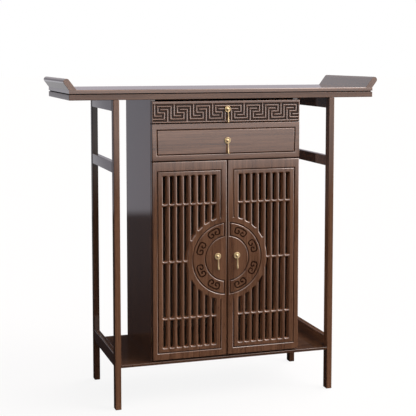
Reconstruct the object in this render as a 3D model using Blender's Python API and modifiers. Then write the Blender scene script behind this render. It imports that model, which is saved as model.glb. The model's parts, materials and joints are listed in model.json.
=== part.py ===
"""Altar table: a tall wooden side table with turned-out ends on its top, a shelf low between
its legs, and a cupboard with two drawers and two pierced doors standing on that shelf.
Metres, +Z up, front towards -Y, origin on the floor under the middle of the whole."""

import math

import bmesh
import bpy
from mathutils import Matrix, Vector

# Fits
HAIRLINE = 0.0003
CUT_OVERRUN = 0.0005

# Table top
TABLE_HEIGHT = 1.060
TOP_LENGTH = 1.065
TOP_DEPTH = 0.406
TOP_BOARD = 0.0115
UNDER_BOARD = 0.0215
TOP_ROUNDING = 0.003
SHADOW_LINE_HEIGHT = 0.002
SHADOW_LINE_DEPTH = 0.003

# Turned-out ends of the top
WING_THICKNESS = 0.020
WING_LEAN = math.radians(37.0)
WING_RISE = 0.0366
WING_ARC_STEPS = 8
WING_REBATE = 0.001

# Legs and side rails
TOP_END_OVERHANG = 0.1435
TOP_BACK_OVERHANG = 0.031
LEG_WIDTH = 0.020
LEG_DEPTH = 0.029
RAIL_THICKNESS = 0.018
LOWER_RAIL_HEIGHT = 0.035
MIDDLE_RAIL_HEIGHT = 0.0355
MIDDLE_RAIL_TOP = 0.824
UPPER_RAIL_HEIGHT = 0.0365
EDGE_EASING = 0.001

# Low shelf
SHELF_TOP = 0.150
SHELF_BOARD = 0.009
SHELF_END_SET_BACK = 0.002

# Cupboard carcase
CABINET_WIDTH = 0.520
CARCASE_BOARD = 0.016
BACK_PANEL = 0.006
DRAWER_DECK = 0.012

# Fronts
FRONT_SET_BACK = 0.0012
FRONT_THICKNESS = 0.020
FRONT_GAP = 0.003
REVEAL = 0.003
SPACE_OVER_DRAWERS = 0.0067
UPPER_FRONT_HEIGHT = 0.0715
LOWER_FRONT_HEIGHT = 0.122
DOOR_FLOOR_GAP = 0.0045

# Drawer boxes
DRAWER_SIDE = 0.012
DRAWER_BOTTOM = 0.005
DRAWER_BOTTOM_RISE = 0.008
DRAWER_PLAY = 0.002
DRAWER_LIFT = 0.001
DRAWER_HEADROOM = 0.010
DRAWER_REAR_SPACE = 0.018

# Key fret on the upper drawer
FRET_MARGIN = 0.008
FRET_ROW_PITCH = 0.0104
FRET_LOWEST_ROW = 0.0127
FRET_DEPTH = 0.003
FRET_UNITS = 8
FRET_UNIT_COLUMNS = 6
FRET_ROWS = 7

# Line cut into the lower drawer and the doors
GROOVE_WIDTH = 0.0035
GROOVE_DEPTH = 0.0022
DRAWER_GROOVE_SIDE_INSET = 0.0175
DRAWER_GROOVE_EDGE_INSET = 0.020
DOOR_GROOVE_OUTER_INSET = 0.018
DOOR_GROOVE_INNER_INSET = 0.0215
DOOR_GROOVE_TOP_INSET = 0.032
DOOR_GROOVE_BOTTOM_INSET = 0.0245

# Pierced slots of the doors
SLOT_COLUMNS = 8
SLOT_WIDTH = 0.0125
SLOT_FLARE = 0.0032
SLOT_SIDE_MARGIN = 0.018
SLOT_END_MARGIN = 0.0165
CROSS_BAR = 0.0085
CROSS_BAR_SHARES = (1 / 6, 1 / 2, 5 / 6)

# Round medallion shared by the doors
MEDALLION_RADIUS = 0.143
MEDALLION_FLARE = 0.0029
BAND_OUTER_RADIUS = 0.1215
BAND_INNER_RADIUS = 0.077
BAND_END_GAP = 0.009
MEDALLION_STEPS = 64
SPIRAL_RADIUS = 0.100
SPIRAL_CELL = 0.0062
SPIRAL_LINE = 0.0028
SPIRAL_DEPTH = 0.0018
SPIRAL_PAIR_ANGLES = tuple(math.radians(a) for a in (-61.5, -22.3, 22.3, 61.5))

# Brass drop pulls
ROSETTE_RADIUS = 0.0112
ROSETTE_HEIGHT = 0.004
PULL_STEPS = 16
DROP_STEPS = 10
PIN_OUT = 0.008
PIN_RADIUS = 0.0009
PIN_PLAY = 0.0003
EYE_RADIUS = 0.0026
EYE_WIDTH = 0.0032
EAR_THICKNESS = 0.0014
EAR_GAP = 0.0003
DROP_LENGTH = 0.0460
DROP_BULB_RADIUS = 0.0035
DROP_NECK_RADIUS = 0.0017
UPPER_PULL_RISE = 0.0435
LOWER_PULL_RISE = 0.0635
DOOR_PULL_OUT = 0.034
DOOR_PULL_RISE = 0.0085

# Door hinges
HINGE_LENGTH = 0.050
HINGE_END_DISTANCE = 0.085
HINGE_BARREL_RADIUS = 0.0012
HINGE_LEAF = 0.0008
HINGE_LEAF_WIDTH = 0.013
HINGE_AXIS_INSET = 0.001
HINGE_SIDES = 8

# Levels and planes that follow from the sizes
pull_reach = PIN_OUT + DROP_BULB_RADIUS - FRONT_SET_BACK
front_y = (pull_reach - TOP_DEPTH) / 2
back_y = front_y + TOP_DEPTH - TOP_BACK_OVERHANG
leg_outer_x = TOP_LENGTH / 2 - TOP_END_OVERHANG
under_board_top = TABLE_HEIGHT - TOP_BOARD - HAIRLINE
under_side = under_board_top - UNDER_BOARD
post_top = under_side - HAIRLINE

fronts_y = front_y + FRONT_SET_BACK
fronts_back_y = fronts_y + FRONT_THICKNESS
carcase_y = fronts_back_y + FRONT_GAP
cabinet_x = CABINET_WIDTH / 2
inner_x = cabinet_x - CARCASE_BOARD
back_panel_y = back_y - BACK_PANEL
carcase_floor = SHELF_TOP + HAIRLINE

upper_front_top = under_side - SPACE_OVER_DRAWERS
upper_front_bottom = upper_front_top - UPPER_FRONT_HEIGHT
lower_front_top = upper_front_bottom - REVEAL
lower_front_bottom = lower_front_top - LOWER_FRONT_HEIGHT
door_top = lower_front_bottom - REVEAL
door_bottom = SHELF_TOP + DOOR_FLOOR_GAP
door_middle = (door_top + door_bottom) / 2
door_half = (door_top - door_bottom) / 2

upper_deck_top = upper_front_bottom - REVEAL / 2
lower_deck_top = lower_front_bottom - REVEAL / 2
drawer_end_y = back_panel_y - DRAWER_REAR_SPACE

hinge_axis_x = cabinet_x - HINGE_AXIS_INSET
hinge_axis_y = fronts_back_y + FRONT_GAP / 2


def clear_scene():
    for old in list(bpy.data.objects):
        bpy.data.objects.remove(old, do_unlink=True)


def new_collection(name):
    collection = bpy.data.collections.new(name)
    bpy.context.scene.collection.children.link(collection)
    return collection


clear_scene()
parts = new_collection("altar_table")
cutters = new_collection("cutters")


def make_material(name, colour, roughness, metallic):
    material = bpy.data.materials.new(name)
    material.use_nodes = True
    shader = material.node_tree.nodes["Principled BSDF"]
    shader.inputs["Base Color"].default_value = (*colour, 1.0)
    shader.inputs["Roughness"].default_value = roughness
    shader.inputs["Metallic"].default_value = metallic
    return material


walnut = make_material("dark_walnut", (0.095, 0.058, 0.042), 0.38, 0.0)
plain_wood = make_material("plain_inner_wood", (0.16, 0.105, 0.072), 0.6, 0.0)
brass = make_material("brass", (0.62, 0.44, 0.20), 0.28, 1.0)


def add_part(name, mesh, material, location=(0, 0, 0)):
    mesh.name = name
    mesh.materials.append(material)
    part = bpy.data.objects.new(name, mesh)
    part.location = location
    parts.objects.link(part)
    return part


def add_cutter(name, mesh, location=(0, 0, 0)):
    cutter = bpy.data.objects.new(name, mesh)
    cutter.location = location
    cutter.hide_render = True
    cutter.display_type = "WIRE"
    cutters.objects.link(cutter)
    return cutter


def combine(target, tool, operation):
    step = target.modifiers.new(operation.lower(), "BOOLEAN")
    step.operation = operation
    step.solver = "EXACT"
    step.object = tool


def mesh_of(bm, name):
    mesh = bpy.data.meshes.new(name)
    bm.to_mesh(mesh)
    bm.free()
    return mesh


def add_block(bm, low, high):
    """One closed box between two corners; returns its eight vertices."""
    size = Vector(high) - Vector(low)
    middle = (Vector(high) + Vector(low)) / 2
    place = Matrix.Translation(middle) @ Matrix.Diagonal((*size, 1.0))
    return bmesh.ops.create_cube(bm, size=1.0, matrix=place)["verts"]


def board(name, low, high, material=walnut, easing=0.0):
    """A sawn board between two corners of the table, with eased edges where they show."""
    middle = (Vector(high) + Vector(low)) / 2
    bm = bmesh.new()
    add_block(bm, Vector(low) - middle, Vector(high) - middle)
    part = add_part(name, mesh_of(bm, name), material, middle)
    if easing > 0:
        ease = part.modifiers.new("eased_edges", "BEVEL")
        ease.width = easing
        ease.segments = 1
    return part


def outline_solid(name, loops, near_y, far_y):
    """Closed outlines drawn in X and Z, nested ones as holes, made solid between two Y planes."""
    curve = bpy.data.curves.new(name, "CURVE")
    curve.dimensions = "2D"
    curve.fill_mode = "BOTH"
    curve.extrude = (far_y - near_y) / 2
    for loop in loops:
        spline = curve.splines.new("POLY")
        spline.points.add(len(loop) - 1)
        spline.use_cyclic_u = True
        for point, (x, z) in zip(spline.points, loop):
            point.co = (x, z, 0.0, 1.0)
    guide = bpy.data.objects.new(name, curve)
    cutters.objects.link(guide)
    guide.rotation_euler = (math.pi / 2, 0, 0)
    guide.location = (0, (near_y + far_y) / 2, 0)
    bpy.context.view_layer.update()
    mesh = bpy.data.meshes.new_from_object(guide.evaluated_get(bpy.context.evaluated_depsgraph_get()))
    mesh.transform(guide.matrix_world)
    bpy.data.objects.remove(guide, do_unlink=True)
    bm = bmesh.new()
    bm.from_mesh(mesh)
    bmesh.ops.remove_doubles(bm, verts=bm.verts, dist=1e-6)
    bmesh.ops.recalc_face_normals(bm, faces=bm.faces)
    bm.to_mesh(mesh)
    bm.free()
    return mesh


def turned_mesh(name, profile):
    """The half outline (radius, height) of a turned piece, top to bottom, as one open chain."""
    bm = bmesh.new()
    chain = [bm.verts.new((radius, 0, height)) for radius, height in profile]
    for upper, lower in zip(chain, chain[1:]):
        bm.edges.new((upper, lower))
    return mesh_of(bm, name)


def turn(part, steps):
    lathe = part.modifiers.new("turned", "SCREW")
    lathe.steps = steps
    lathe.render_steps = steps
    lathe.use_merge_vertices = True
    lathe.merge_threshold = 1e-5
    lathe.use_smooth_shade = True


def arc(radius, start, end, steps):
    turns = [start + (end - start) * k / steps for k in range(steps + 1)]
    return [(radius * math.cos(a), radius * math.sin(a)) for a in turns]


def rectangle(low_x, low_z, high_x, high_z):
    return [(low_x, low_z), (high_x, low_z), (high_x, high_z), (low_x, high_z)]


def joint_empty(name, location, parent=None):
    empty = bpy.data.objects.new(name, None)
    empty.empty_display_size = 0.05
    empty.location = location
    parts.objects.link(empty)
    if parent:
        hang(empty, parent)
    return empty


def hang(child, parent):
    """Fixes a piece to a moving body without shifting it."""
    bpy.context.view_layer.update()
    child.parent = parent
    child.matrix_parent_inverse = parent.matrix_world.inverted()


def build_top():
    """Two boards with a shadow line between them."""
    low = (-TOP_LENGTH / 2, front_y, TABLE_HEIGHT - TOP_BOARD)
    high = (TOP_LENGTH / 2, front_y + TOP_DEPTH, TABLE_HEIGHT)
    middle = (Vector(low) + Vector(high)) / 2
    bm = bmesh.new()
    add_block(bm, Vector(low) - middle, Vector(high) - middle)
    top_z = (high[2] - low[2]) / 2
    long_edges = [
        edge for edge in bm.edges
        if all(v.co.z > top_z / 2 for v in edge.verts)
        and abs(edge.verts[0].co.x - edge.verts[1].co.x) > TOP_LENGTH / 2
    ]
    bmesh.ops.bevel(bm, geom=long_edges, offset=TOP_ROUNDING, segments=3, profile=0.5,
                    affect="EDGES", material=-1)
    top = add_part("top_board", mesh_of(bm, "top_board"), walnut, middle)
    bm = bmesh.new()
    reach = WING_REBATE
    for side in (-1, 1):
        xs = sorted((side * (wing_foot(TOP_LENGTH / 2)[0] - HAIRLINE), side * (TOP_LENGTH / 2 + reach)))
        add_block(bm, (xs[0], front_y - reach, TABLE_HEIGHT - WING_REBATE),
                  (xs[1], front_y + TOP_DEPTH + reach, TABLE_HEIGHT + reach))
    combine(top, add_cutter("wing_rebates", mesh_of(bm, "wing_rebates")), "DIFFERENCE")

    under = board("top_under_board",
                  (-TOP_LENGTH / 2, front_y, under_side),
                  (TOP_LENGTH / 2, front_y + TOP_DEPTH, under_board_top))
    bm = bmesh.new()
    inset = SHADOW_LINE_DEPTH
    reach = SHADOW_LINE_DEPTH
    shadow_bottom = under_board_top - SHADOW_LINE_HEIGHT
    add_block(bm, (-TOP_LENGTH / 2 - reach, front_y - reach, shadow_bottom),
              (TOP_LENGTH / 2 + reach, front_y + TOP_DEPTH + reach, under_board_top + reach))
    frame_cutter = add_cutter("shadow_line", mesh_of(bm, "shadow_line"))
    bm = bmesh.new()
    add_block(bm, (-TOP_LENGTH / 2 + inset, front_y + inset, shadow_bottom - reach),
              (TOP_LENGTH / 2 - inset, front_y + TOP_DEPTH - inset, under_board_top + 2 * reach))
    core = add_cutter("shadow_line_core", mesh_of(bm, "shadow_line_core"))
    combine(frame_cutter, core, "DIFFERENCE")
    combine(under, frame_cutter, "DIFFERENCE")


def wing_foot(end_x):
    """Inner and outer X of a turned-out end's level foot, which stands in the board's rebate."""
    outer = end_x - (WING_REBATE - HAIRLINE) * math.tan(WING_LEAN)
    return outer - WING_THICKNESS / math.cos(WING_LEAN), outer


def wing_outline(side):
    """Section of a turned-out end: flat foot, leaning faces, full round top."""
    foot_z = TABLE_HEIGHT - WING_REBATE + HAIRLINE
    radius = WING_THICKNESS / 2
    inner_foot, outer_foot = wing_foot(TOP_LENGTH / 2)
    centre_z = TABLE_HEIGHT + WING_RISE - radius
    centre_x = (inner_foot + outer_foot) / 2 + (centre_z - foot_z) * math.tan(WING_LEAN)
    crown = [(centre_x + x, centre_z + z)
             for x, z in arc(radius, -WING_LEAN, math.pi - WING_LEAN, WING_ARC_STEPS)]
    section = [(inner_foot, foot_z), (outer_foot, foot_z)] + crown
    return [(side * x, z) for x, z in section]


def build_wings():
    for side, word in ((-1, "left"), (1, "right")):
        name = "wing_" + word
        mesh = outline_solid(name, [wing_outline(side)], front_y, front_y + TOP_DEPTH)
        add_part(name, mesh, walnut)


def build_legs():
    for side, word in ((-1, "left"), (1, "right")):
        for place, near in (("front", front_y), ("back", back_y - LEG_DEPTH)):
            xs = sorted((side * leg_outer_x, side * (leg_outer_x - LEG_WIDTH)))
            board("leg_" + place + "_" + word, (xs[0], near, 0.0),
                  (xs[1], near + LEG_DEPTH, post_top), easing=EDGE_EASING)


def build_side_rails():
    levels = {
        "lower": (carcase_floor, carcase_floor + LOWER_RAIL_HEIGHT),
        "middle": (MIDDLE_RAIL_TOP - MIDDLE_RAIL_HEIGHT, MIDDLE_RAIL_TOP),
        "upper": (post_top - UPPER_RAIL_HEIGHT, post_top),
    }
    near = front_y + LEG_DEPTH + HAIRLINE
    far = back_y - LEG_DEPTH - HAIRLINE
    for side, word in ((-1, "left"), (1, "right")):
        xs = sorted((side * leg_outer_x, side * (leg_outer_x - RAIL_THICKNESS)))
        for level, (bottom, top) in levels.items():
            board("rail_" + level + "_" + word, (xs[0], near, bottom), (xs[1], far, top),
                  easing=EDGE_EASING)


def build_shelf():
    """One board, notched round the four legs."""
    end_x = leg_outer_x - SHELF_END_SET_BACK
    shelf = board("shelf_board", (-end_x, front_y, SHELF_TOP - SHELF_BOARD), (end_x, back_y, SHELF_TOP))
    bm = bmesh.new()
    reach = SHELF_BOARD
    notch_x = leg_outer_x - LEG_WIDTH - HAIRLINE
    for side in (-1, 1):
        xs = sorted((side * notch_x, side * (leg_outer_x + reach)))
        add_block(bm, (xs[0], front_y - reach, SHELF_TOP - SHELF_BOARD - reach),
                  (xs[1], front_y + LEG_DEPTH + HAIRLINE, SHELF_TOP + reach))
        add_block(bm, (xs[0], back_y - LEG_DEPTH - HAIRLINE, SHELF_TOP - SHELF_BOARD - reach),
                  (xs[1], back_y + reach, SHELF_TOP + reach))
    combine(shelf, add_cutter("leg_notches", mesh_of(bm, "leg_notches")), "DIFFERENCE")


def build_carcase():
    """Cupboard box between the shelf and the top, open in front."""
    for side, word in ((-1, "left"), (1, "right")):
        xs = sorted((side * cabinet_x, side * inner_x))
        board("cabinet_side_" + word, (xs[0], carcase_y, carcase_floor), (xs[1], back_y, post_top))
    inside = inner_x - HAIRLINE
    board("cabinet_back", (-inside, back_panel_y, carcase_floor), (inside, back_y, post_top), plain_wood)
    deck_back = back_panel_y - HAIRLINE
    levels = {
        "cabinet_floor": (carcase_floor, carcase_floor + CARCASE_BOARD),
        "upper_drawer_deck": (upper_deck_top - DRAWER_DECK, upper_deck_top),
        "lower_drawer_deck": (lower_deck_top - DRAWER_DECK, lower_deck_top),
    }
    for name, (bottom, top) in levels.items():
        board(name, (-inside, carcase_y, bottom), (inside, deck_back, top), plain_wood)


def drawer_box(word, box_bottom, box_top, body):
    """Two sides, a back between them, and a bottom held above their lower edges."""
    outer = inner_x - DRAWER_PLAY
    inner = outer - DRAWER_SIDE
    near = fronts_back_y + HAIRLINE
    for side, hand in ((-1, "left"), (1, "right")):
        xs = sorted((side * outer, side * inner))
        part = board(word + "_side_" + hand, (xs[0], near, box_bottom), (xs[1], drawer_end_y, box_top),
                     plain_wood)
        hang(part, body)
    between = inner - HAIRLINE
    back_low = drawer_end_y - DRAWER_SIDE
    bottom_z = box_bottom + DRAWER_BOTTOM_RISE
    hang(board(word + "_back", (-between, back_low, box_bottom), (between, drawer_end_y, box_top),
               plain_wood), body)
    hang(board(word + "_bottom", (-between, near, bottom_z),
               (between, back_low - HAIRLINE, bottom_z + DRAWER_BOTTOM), plain_wood), body)


def walk(points):
    """Every half step of a path along the fret's columns and rows."""
    for (c0, r0), (c1, r1) in zip(points, points[1:]):
        steps = 2 * max(abs(c1 - c0), abs(r1 - r0))
        for k in range(steps + 1):
            yield (2 * c0 + (c1 - c0) * 2 * k // steps, 2 * r0 + (r1 - r0) * 2 * k // steps)


def fret_lines():
    """Half-column and half-row places of the raised line. The right half is turned upside down."""
    top_row = FRET_ROWS - 1
    meander = [(1, 5), (1, 1), (5, 1), (5, 3), (3, 3), (3, 5), (7, 5)]
    upper_hook = [(2, 6), (2, 2), (4, 2)]
    lower_hook = [(6, 0), (6, 4), (4, 4)]
    raised = set()
    for unit in range(FRET_UNITS):
        start = FRET_UNIT_COLUMNS * unit - 2
        turned = unit >= FRET_UNITS // 2
        for path in (meander, upper_hook, lower_hook):
            points = [(start + c, top_row - r if turned else r) for c, r in path]
            if unit == FRET_UNITS // 2 and path is meander:
                points = points[1:]
            raised.update(walk(points))
    return raised


def fret_cutter(width):
    """The sunk ground of the fret, from the drawer's lower left corner, as one closed mesh."""
    last_column = FRET_UNIT_COLUMNS * FRET_UNITS - 2
    pitch = (width - FRET_MARGIN) / (last_column + 0.25)
    columns = 2 * last_column + 2
    rows = 2 * FRET_ROWS - 1
    reach = FRET_DEPTH
    raised = fret_lines()
    line = FRET_ROW_PITCH / 2

    def x_at(i):
        if i == 0:
            return -reach
        if i == columns:
            return width + reach
        return FRET_MARGIN - pitch / 4 + (i - 1) * pitch / 2

    def z_at(j):
        return FRET_LOWEST_ROW - line / 2 + (j - 2) * line

    bm = bmesh.new()
    bmesh.ops.create_grid(bm, x_segments=columns, y_segments=rows, size=1.0)
    solid = []
    for face in bm.faces:
        centre = face.calc_center_median()
        i = int((centre.x + 1) / 2 * columns)
        j = int((centre.y + 1) / 2 * rows)
        if j in (0, rows - 1) or (i - 1, j) in raised:
            solid.append(face)
    for vertex in bm.verts:
        i = round((vertex.co.x + 1) / 2 * columns)
        j = round((vertex.co.y + 1) / 2 * rows)
        vertex.co = (x_at(i), -reach, z_at(j))
    bmesh.ops.delete(bm, geom=solid, context="FACES")
    bmesh.ops.dissolve_limit(bm, angle_limit=0.01, verts=bm.verts, edges=bm.edges)
    sunk = bmesh.ops.extrude_face_region(bm, geom=list(bm.faces), use_keep_orig=True)
    moved = [item for item in sunk["geom"] if isinstance(item, bmesh.types.BMVert)]
    bmesh.ops.translate(bm, verts=moved, vec=(0, reach + FRET_DEPTH, 0))
    bmesh.ops.recalc_face_normals(bm, faces=bm.faces)
    return mesh_of(bm, "fret_ground")


def build_upper_drawer(body):
    width = CABINET_WIDTH
    front = board("drawer_upper_front", (-cabinet_x, fronts_y, upper_front_bottom),
                  (cabinet_x, fronts_back_y, upper_front_top))
    ground = add_cutter("fret_ground", fret_cutter(width), (-cabinet_x, fronts_y, upper_front_bottom))
    combine(front, ground, "DIFFERENCE")
    hang(front, body)
    drawer_box("drawer_upper", upper_deck_top + DRAWER_LIFT, upper_front_top - DRAWER_HEADROOM, body)


def groove_ring(name, low_x, low_z, high_x, high_z):
    """A rectangular line cut into a front, drawn along its middle."""
    half = GROOVE_WIDTH / 2
    outer = rectangle(low_x - half, low_z - half, high_x + half, high_z + half)
    inner = rectangle(low_x + half, low_z + half, high_x - half, high_z - half)
    return outline_solid(name, [outer, inner], -GROOVE_DEPTH, GROOVE_DEPTH)


def build_lower_drawer(body):
    front = board("drawer_lower_front", (-cabinet_x, fronts_y, lower_front_bottom),
                  (cabinet_x, fronts_back_y, lower_front_top))
    groove = groove_ring("drawer_groove", -cabinet_x + DRAWER_GROOVE_SIDE_INSET,
                         lower_front_bottom + DRAWER_GROOVE_EDGE_INSET,
                         cabinet_x - DRAWER_GROOVE_SIDE_INSET,
                         lower_front_top - DRAWER_GROOVE_EDGE_INSET)
    combine(front, add_cutter("drawer_groove", groove, (0, fronts_y, 0)), "DIFFERENCE")
    hang(front, body)
    box_top = upper_deck_top - DRAWER_DECK - DRAWER_HEADROOM
    drawer_box("drawer_lower", lower_deck_top + DRAWER_LIFT, box_top, body)


def slot_wells(side):
    """Pierced slots of one door, flared at the front, in the door's own X, depth and Z."""
    groove_low = REVEAL / 2 + DOOR_GROOVE_INNER_INSET
    groove_high = cabinet_x - DOOR_GROOVE_OUTER_INSET
    first_x = groove_low + SLOT_SIDE_MARGIN
    last_x = groove_high - SLOT_SIDE_MARGIN
    pitch = (last_x - first_x - SLOT_WIDTH) / (SLOT_COLUMNS - 1)
    bottom = -door_half + DOOR_GROOVE_BOTTOM_INSET + SLOT_END_MARGIN
    top = door_half - DOOR_GROOVE_TOP_INSET - SLOT_END_MARGIN
    bars = [bottom + (top - bottom) * share for share in CROSS_BAR_SHARES]
    lows = [bottom] + [z + CROSS_BAR / 2 for z in bars]
    highs = [z - CROSS_BAR / 2 for z in bars] + [top]
    reach = CUT_OVERRUN
    bm = bmesh.new()
    mouths = []
    for column in range(SLOT_COLUMNS):
        low_x = first_x + pitch * column
        xs = sorted((side * low_x, side * (low_x + SLOT_WIDTH)))
        for low_z, high_z in zip(lows, highs):
            corners = add_block(bm, (xs[0], -reach, low_z), (xs[1], FRONT_THICKNESS + reach, high_z))
            middle = Vector(((xs[0] + xs[1]) / 2, 0, (low_z + high_z) / 2))
            mouths.append(([v for v in corners if v.co.y < 0], middle))
    bmesh.ops.bisect_plane(bm, geom=[*bm.verts, *bm.edges, *bm.faces],
                           plane_co=(0, SLOT_FLARE, 0), plane_no=(0, 1, 0))
    for corners, middle in mouths:
        for v in corners:
            v.co.x += math.copysign(SLOT_FLARE + reach, v.co.x - middle.x)
            v.co.z += math.copysign(SLOT_FLARE + reach, v.co.z - middle.z)
    return mesh_of(bm, "slot_wells")


def medallion_plug():
    """The round area that the slots stop at, with the same flare as their ends."""
    reach = MEDALLION_FLARE
    depth = FRONT_THICKNESS + 2 * reach
    bm = bmesh.new()
    lay = Matrix.Translation((0, depth / 2 - reach, 0)) @ Matrix.Rotation(math.pi / 2, 4, "X")
    bmesh.ops.create_cone(bm, cap_ends=True, segments=MEDALLION_STEPS, radius1=MEDALLION_RADIUS,
                          radius2=MEDALLION_RADIUS, depth=depth, matrix=lay)
    front_ring = [v for v in bm.verts if v.co.y < 0]
    bmesh.ops.bisect_plane(bm, geom=[*bm.verts, *bm.edges, *bm.faces],
                           plane_co=(0, MEDALLION_FLARE, 0), plane_no=(0, 1, 0))
    share = (MEDALLION_RADIUS - MEDALLION_FLARE - reach) / MEDALLION_RADIUS
    for v in front_ring:
        v.co.x *= share
        v.co.z *= share
    return mesh_of(bm, "medallion_plug")


def band_outline(side, outer_radius, inner_radius, end_x):
    """Half ring that stops short of the doors' meeting edges."""
    outer_end = math.acos(end_x / outer_radius)
    inner_end = math.acos(end_x / inner_radius)
    steps = MEDALLION_STEPS // 2
    outer = arc(outer_radius, -outer_end, outer_end, steps)
    inner = arc(inner_radius, inner_end, -inner_end, steps)
    return [(side * x, z) for x, z in outer + inner]


def band_groove(side):
    half = GROOVE_WIDTH / 2
    end_x = REVEAL / 2 + BAND_END_GAP
    outer = band_outline(side, BAND_OUTER_RADIUS + half, BAND_INNER_RADIUS - half, end_x - half)
    inner = band_outline(side, BAND_OUTER_RADIUS - half, BAND_INNER_RADIUS + half, end_x + half)
    return outline_solid("band_groove", [outer, inner], -GROOVE_DEPTH, GROOVE_DEPTH)


def stroke_outline(points, width):
    """A cut line's outline: the path offset to both sides, mitred at its corners."""
    path = [Vector(p) for p in points]
    ways = [(b - a).normalized() for a, b in zip(path, path[1:])]
    left = []
    right = []
    for k, point in enumerate(path):
        before = ways[max(k - 1, 0)]
        after = ways[min(k, len(ways) - 1)]
        across = Vector((-before.y - after.y, before.x + after.x)).normalized()
        mitre = across * (width / 2) / across.dot(Vector((-before.y, before.x)))
        left.append(point + mitre)
        right.append(point - mitre)
    return [tuple(p) for p in left + right[::-1]]


def spiral_path(angle):
    """Two square spirals joined along their outer side, each laid square to its own radius."""
    near, far = 0.9, 4.0
    hook = [(2.2, 0), (near, 0), (near, -2), (far, -2), (far, 2), (0, 2)]
    centre = (near + far) / 2
    path = []
    for mirror in (-1, 1):
        turn_by = angle + mirror * math.atan(centre * SPIRAL_CELL / SPIRAL_RADIUS)
        outward = Vector((math.cos(turn_by), math.sin(turn_by)))
        along = Vector((-outward.y, outward.x)) * mirror
        cells = hook if mirror < 0 else hook[::-1]
        for u, v in cells:
            path.append(outward * (SPIRAL_RADIUS + v * SPIRAL_CELL) + along * ((u - centre) * SPIRAL_CELL))
    link = len(path) // 2
    path[link - 1] = (path[link - 1] + path[link]) / 2
    del path[link]
    return path


def band_spirals(side):
    strokes = [stroke_outline(spiral_path(a), SPIRAL_LINE) for a in SPIRAL_PAIR_ANGLES]
    mirrored = [[(side * x, z) for x, z in loop] for loop in strokes]
    return outline_solid("band_spirals", mirrored, -SPIRAL_DEPTH, SPIRAL_DEPTH)


def build_door(side, word, body):
    origin = (0, fronts_y, door_middle)
    xs = sorted((side * REVEAL / 2, side * cabinet_x))
    bm = bmesh.new()
    add_block(bm, (xs[0], 0, -door_half), (xs[1], FRONT_THICKNESS, door_half))
    door = add_part("door_" + word, mesh_of(bm, "door_" + word), walnut, origin)

    wells = add_cutter("slots_" + word, slot_wells(side), origin)
    plug = add_cutter("medallion_" + word, medallion_plug(), origin)
    combine(wells, plug, "DIFFERENCE")
    combine(door, wells, "DIFFERENCE")

    groove_xs = sorted((side * (REVEAL / 2 + DOOR_GROOVE_INNER_INSET),
                        side * (cabinet_x - DOOR_GROOVE_OUTER_INSET)))
    ring = groove_ring("door_groove_" + word, groove_xs[0], -door_half + DOOR_GROOVE_BOTTOM_INSET,
                       groove_xs[1], door_half - DOOR_GROOVE_TOP_INSET)
    combine(door, add_cutter("band_spirals_" + word, band_spirals(side), origin), "DIFFERENCE")
    combine(door, add_cutter("band_groove_" + word, band_groove(side), origin), "DIFFERENCE")
    line = add_cutter("door_groove_" + word, ring, origin)
    combine(line, plug, "DIFFERENCE")
    combine(door, line, "DIFFERENCE")
    hang(door, body)


def hinge_half(name, side, knuckles, leaf_low_y, leaf_high_y, centre_z):
    """A leaf with its share of the barrel; the barrel stands on the axis."""
    axis = (side * hinge_axis_x, hinge_axis_y, centre_z)
    clear = HINGE_BARREL_RADIUS + HAIRLINE
    bm = bmesh.new()
    xs = sorted((-side * clear, -side * (clear + HINGE_LEAF_WIDTH)))
    add_block(bm, (xs[0], leaf_low_y, -HINGE_LENGTH / 2), (xs[1], leaf_high_y, HINGE_LENGTH / 2))
    leaf = add_part(name, mesh_of(bm, name), brass, axis)
    for number, (low, high) in enumerate(knuckles):
        bm = bmesh.new()
        bmesh.ops.create_cone(bm, cap_ends=True, segments=HINGE_SIDES, radius1=HINGE_BARREL_RADIUS,
                              radius2=HINGE_BARREL_RADIUS, depth=high - low,
                              matrix=Matrix.Translation((0, 0, (low + high) / 2)))
        barrel = add_cutter(name + "_knuckle_" + str(number), mesh_of(bm, name + "_knuckle"), axis)
        bm = bmesh.new()
        xs = sorted((0, -side * (clear + HAIRLINE)))
        add_block(bm, (xs[0], leaf_low_y + HAIRLINE / 4, low + HAIRLINE),
                  (xs[1], leaf_high_y - HAIRLINE / 4, high - HAIRLINE))
        tab = add_cutter(name + "_tab_" + str(number), mesh_of(bm, name + "_tab"), axis)
        combine(leaf, barrel, "UNION")
        combine(leaf, tab, "UNION")
    return leaf


def build_hinges(side, word, body):
    third = HINGE_LENGTH / 6
    ends = [(-HINGE_LENGTH / 2, -third - HAIRLINE), (third + HAIRLINE, HINGE_LENGTH / 2)]
    middle = [(-third, third)]
    half_gap = FRONT_GAP / 2
    for place, centre_z in (("low", door_bottom + HINGE_END_DISTANCE), ("high", door_top - HINGE_END_DISTANCE)):
        stem = "hinge_" + word + "_" + place
        hinge_half(stem + "_fixed_leaf", side, ends, half_gap - HAIRLINE - HINGE_LEAF,
                   half_gap - HAIRLINE, centre_z)
        leaf = hinge_half(stem + "_door_leaf", side, middle, HAIRLINE - half_gap,
                          HAIRLINE - half_gap + HINGE_LEAF, centre_z)
        hang(leaf, body)


def rosette_profile():
    rim = ROSETTE_RADIUS
    crown = ROSETTE_HEIGHT
    return [(0, crown), (0.30 * rim, 0.95 * crown), (0.50 * rim, 0.62 * crown),
            (0.68 * rim, 0.80 * crown), (0.88 * rim, 0.66 * crown), (rim, 0.25 * crown),
            (rim, 0), (0, 0)]


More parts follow.
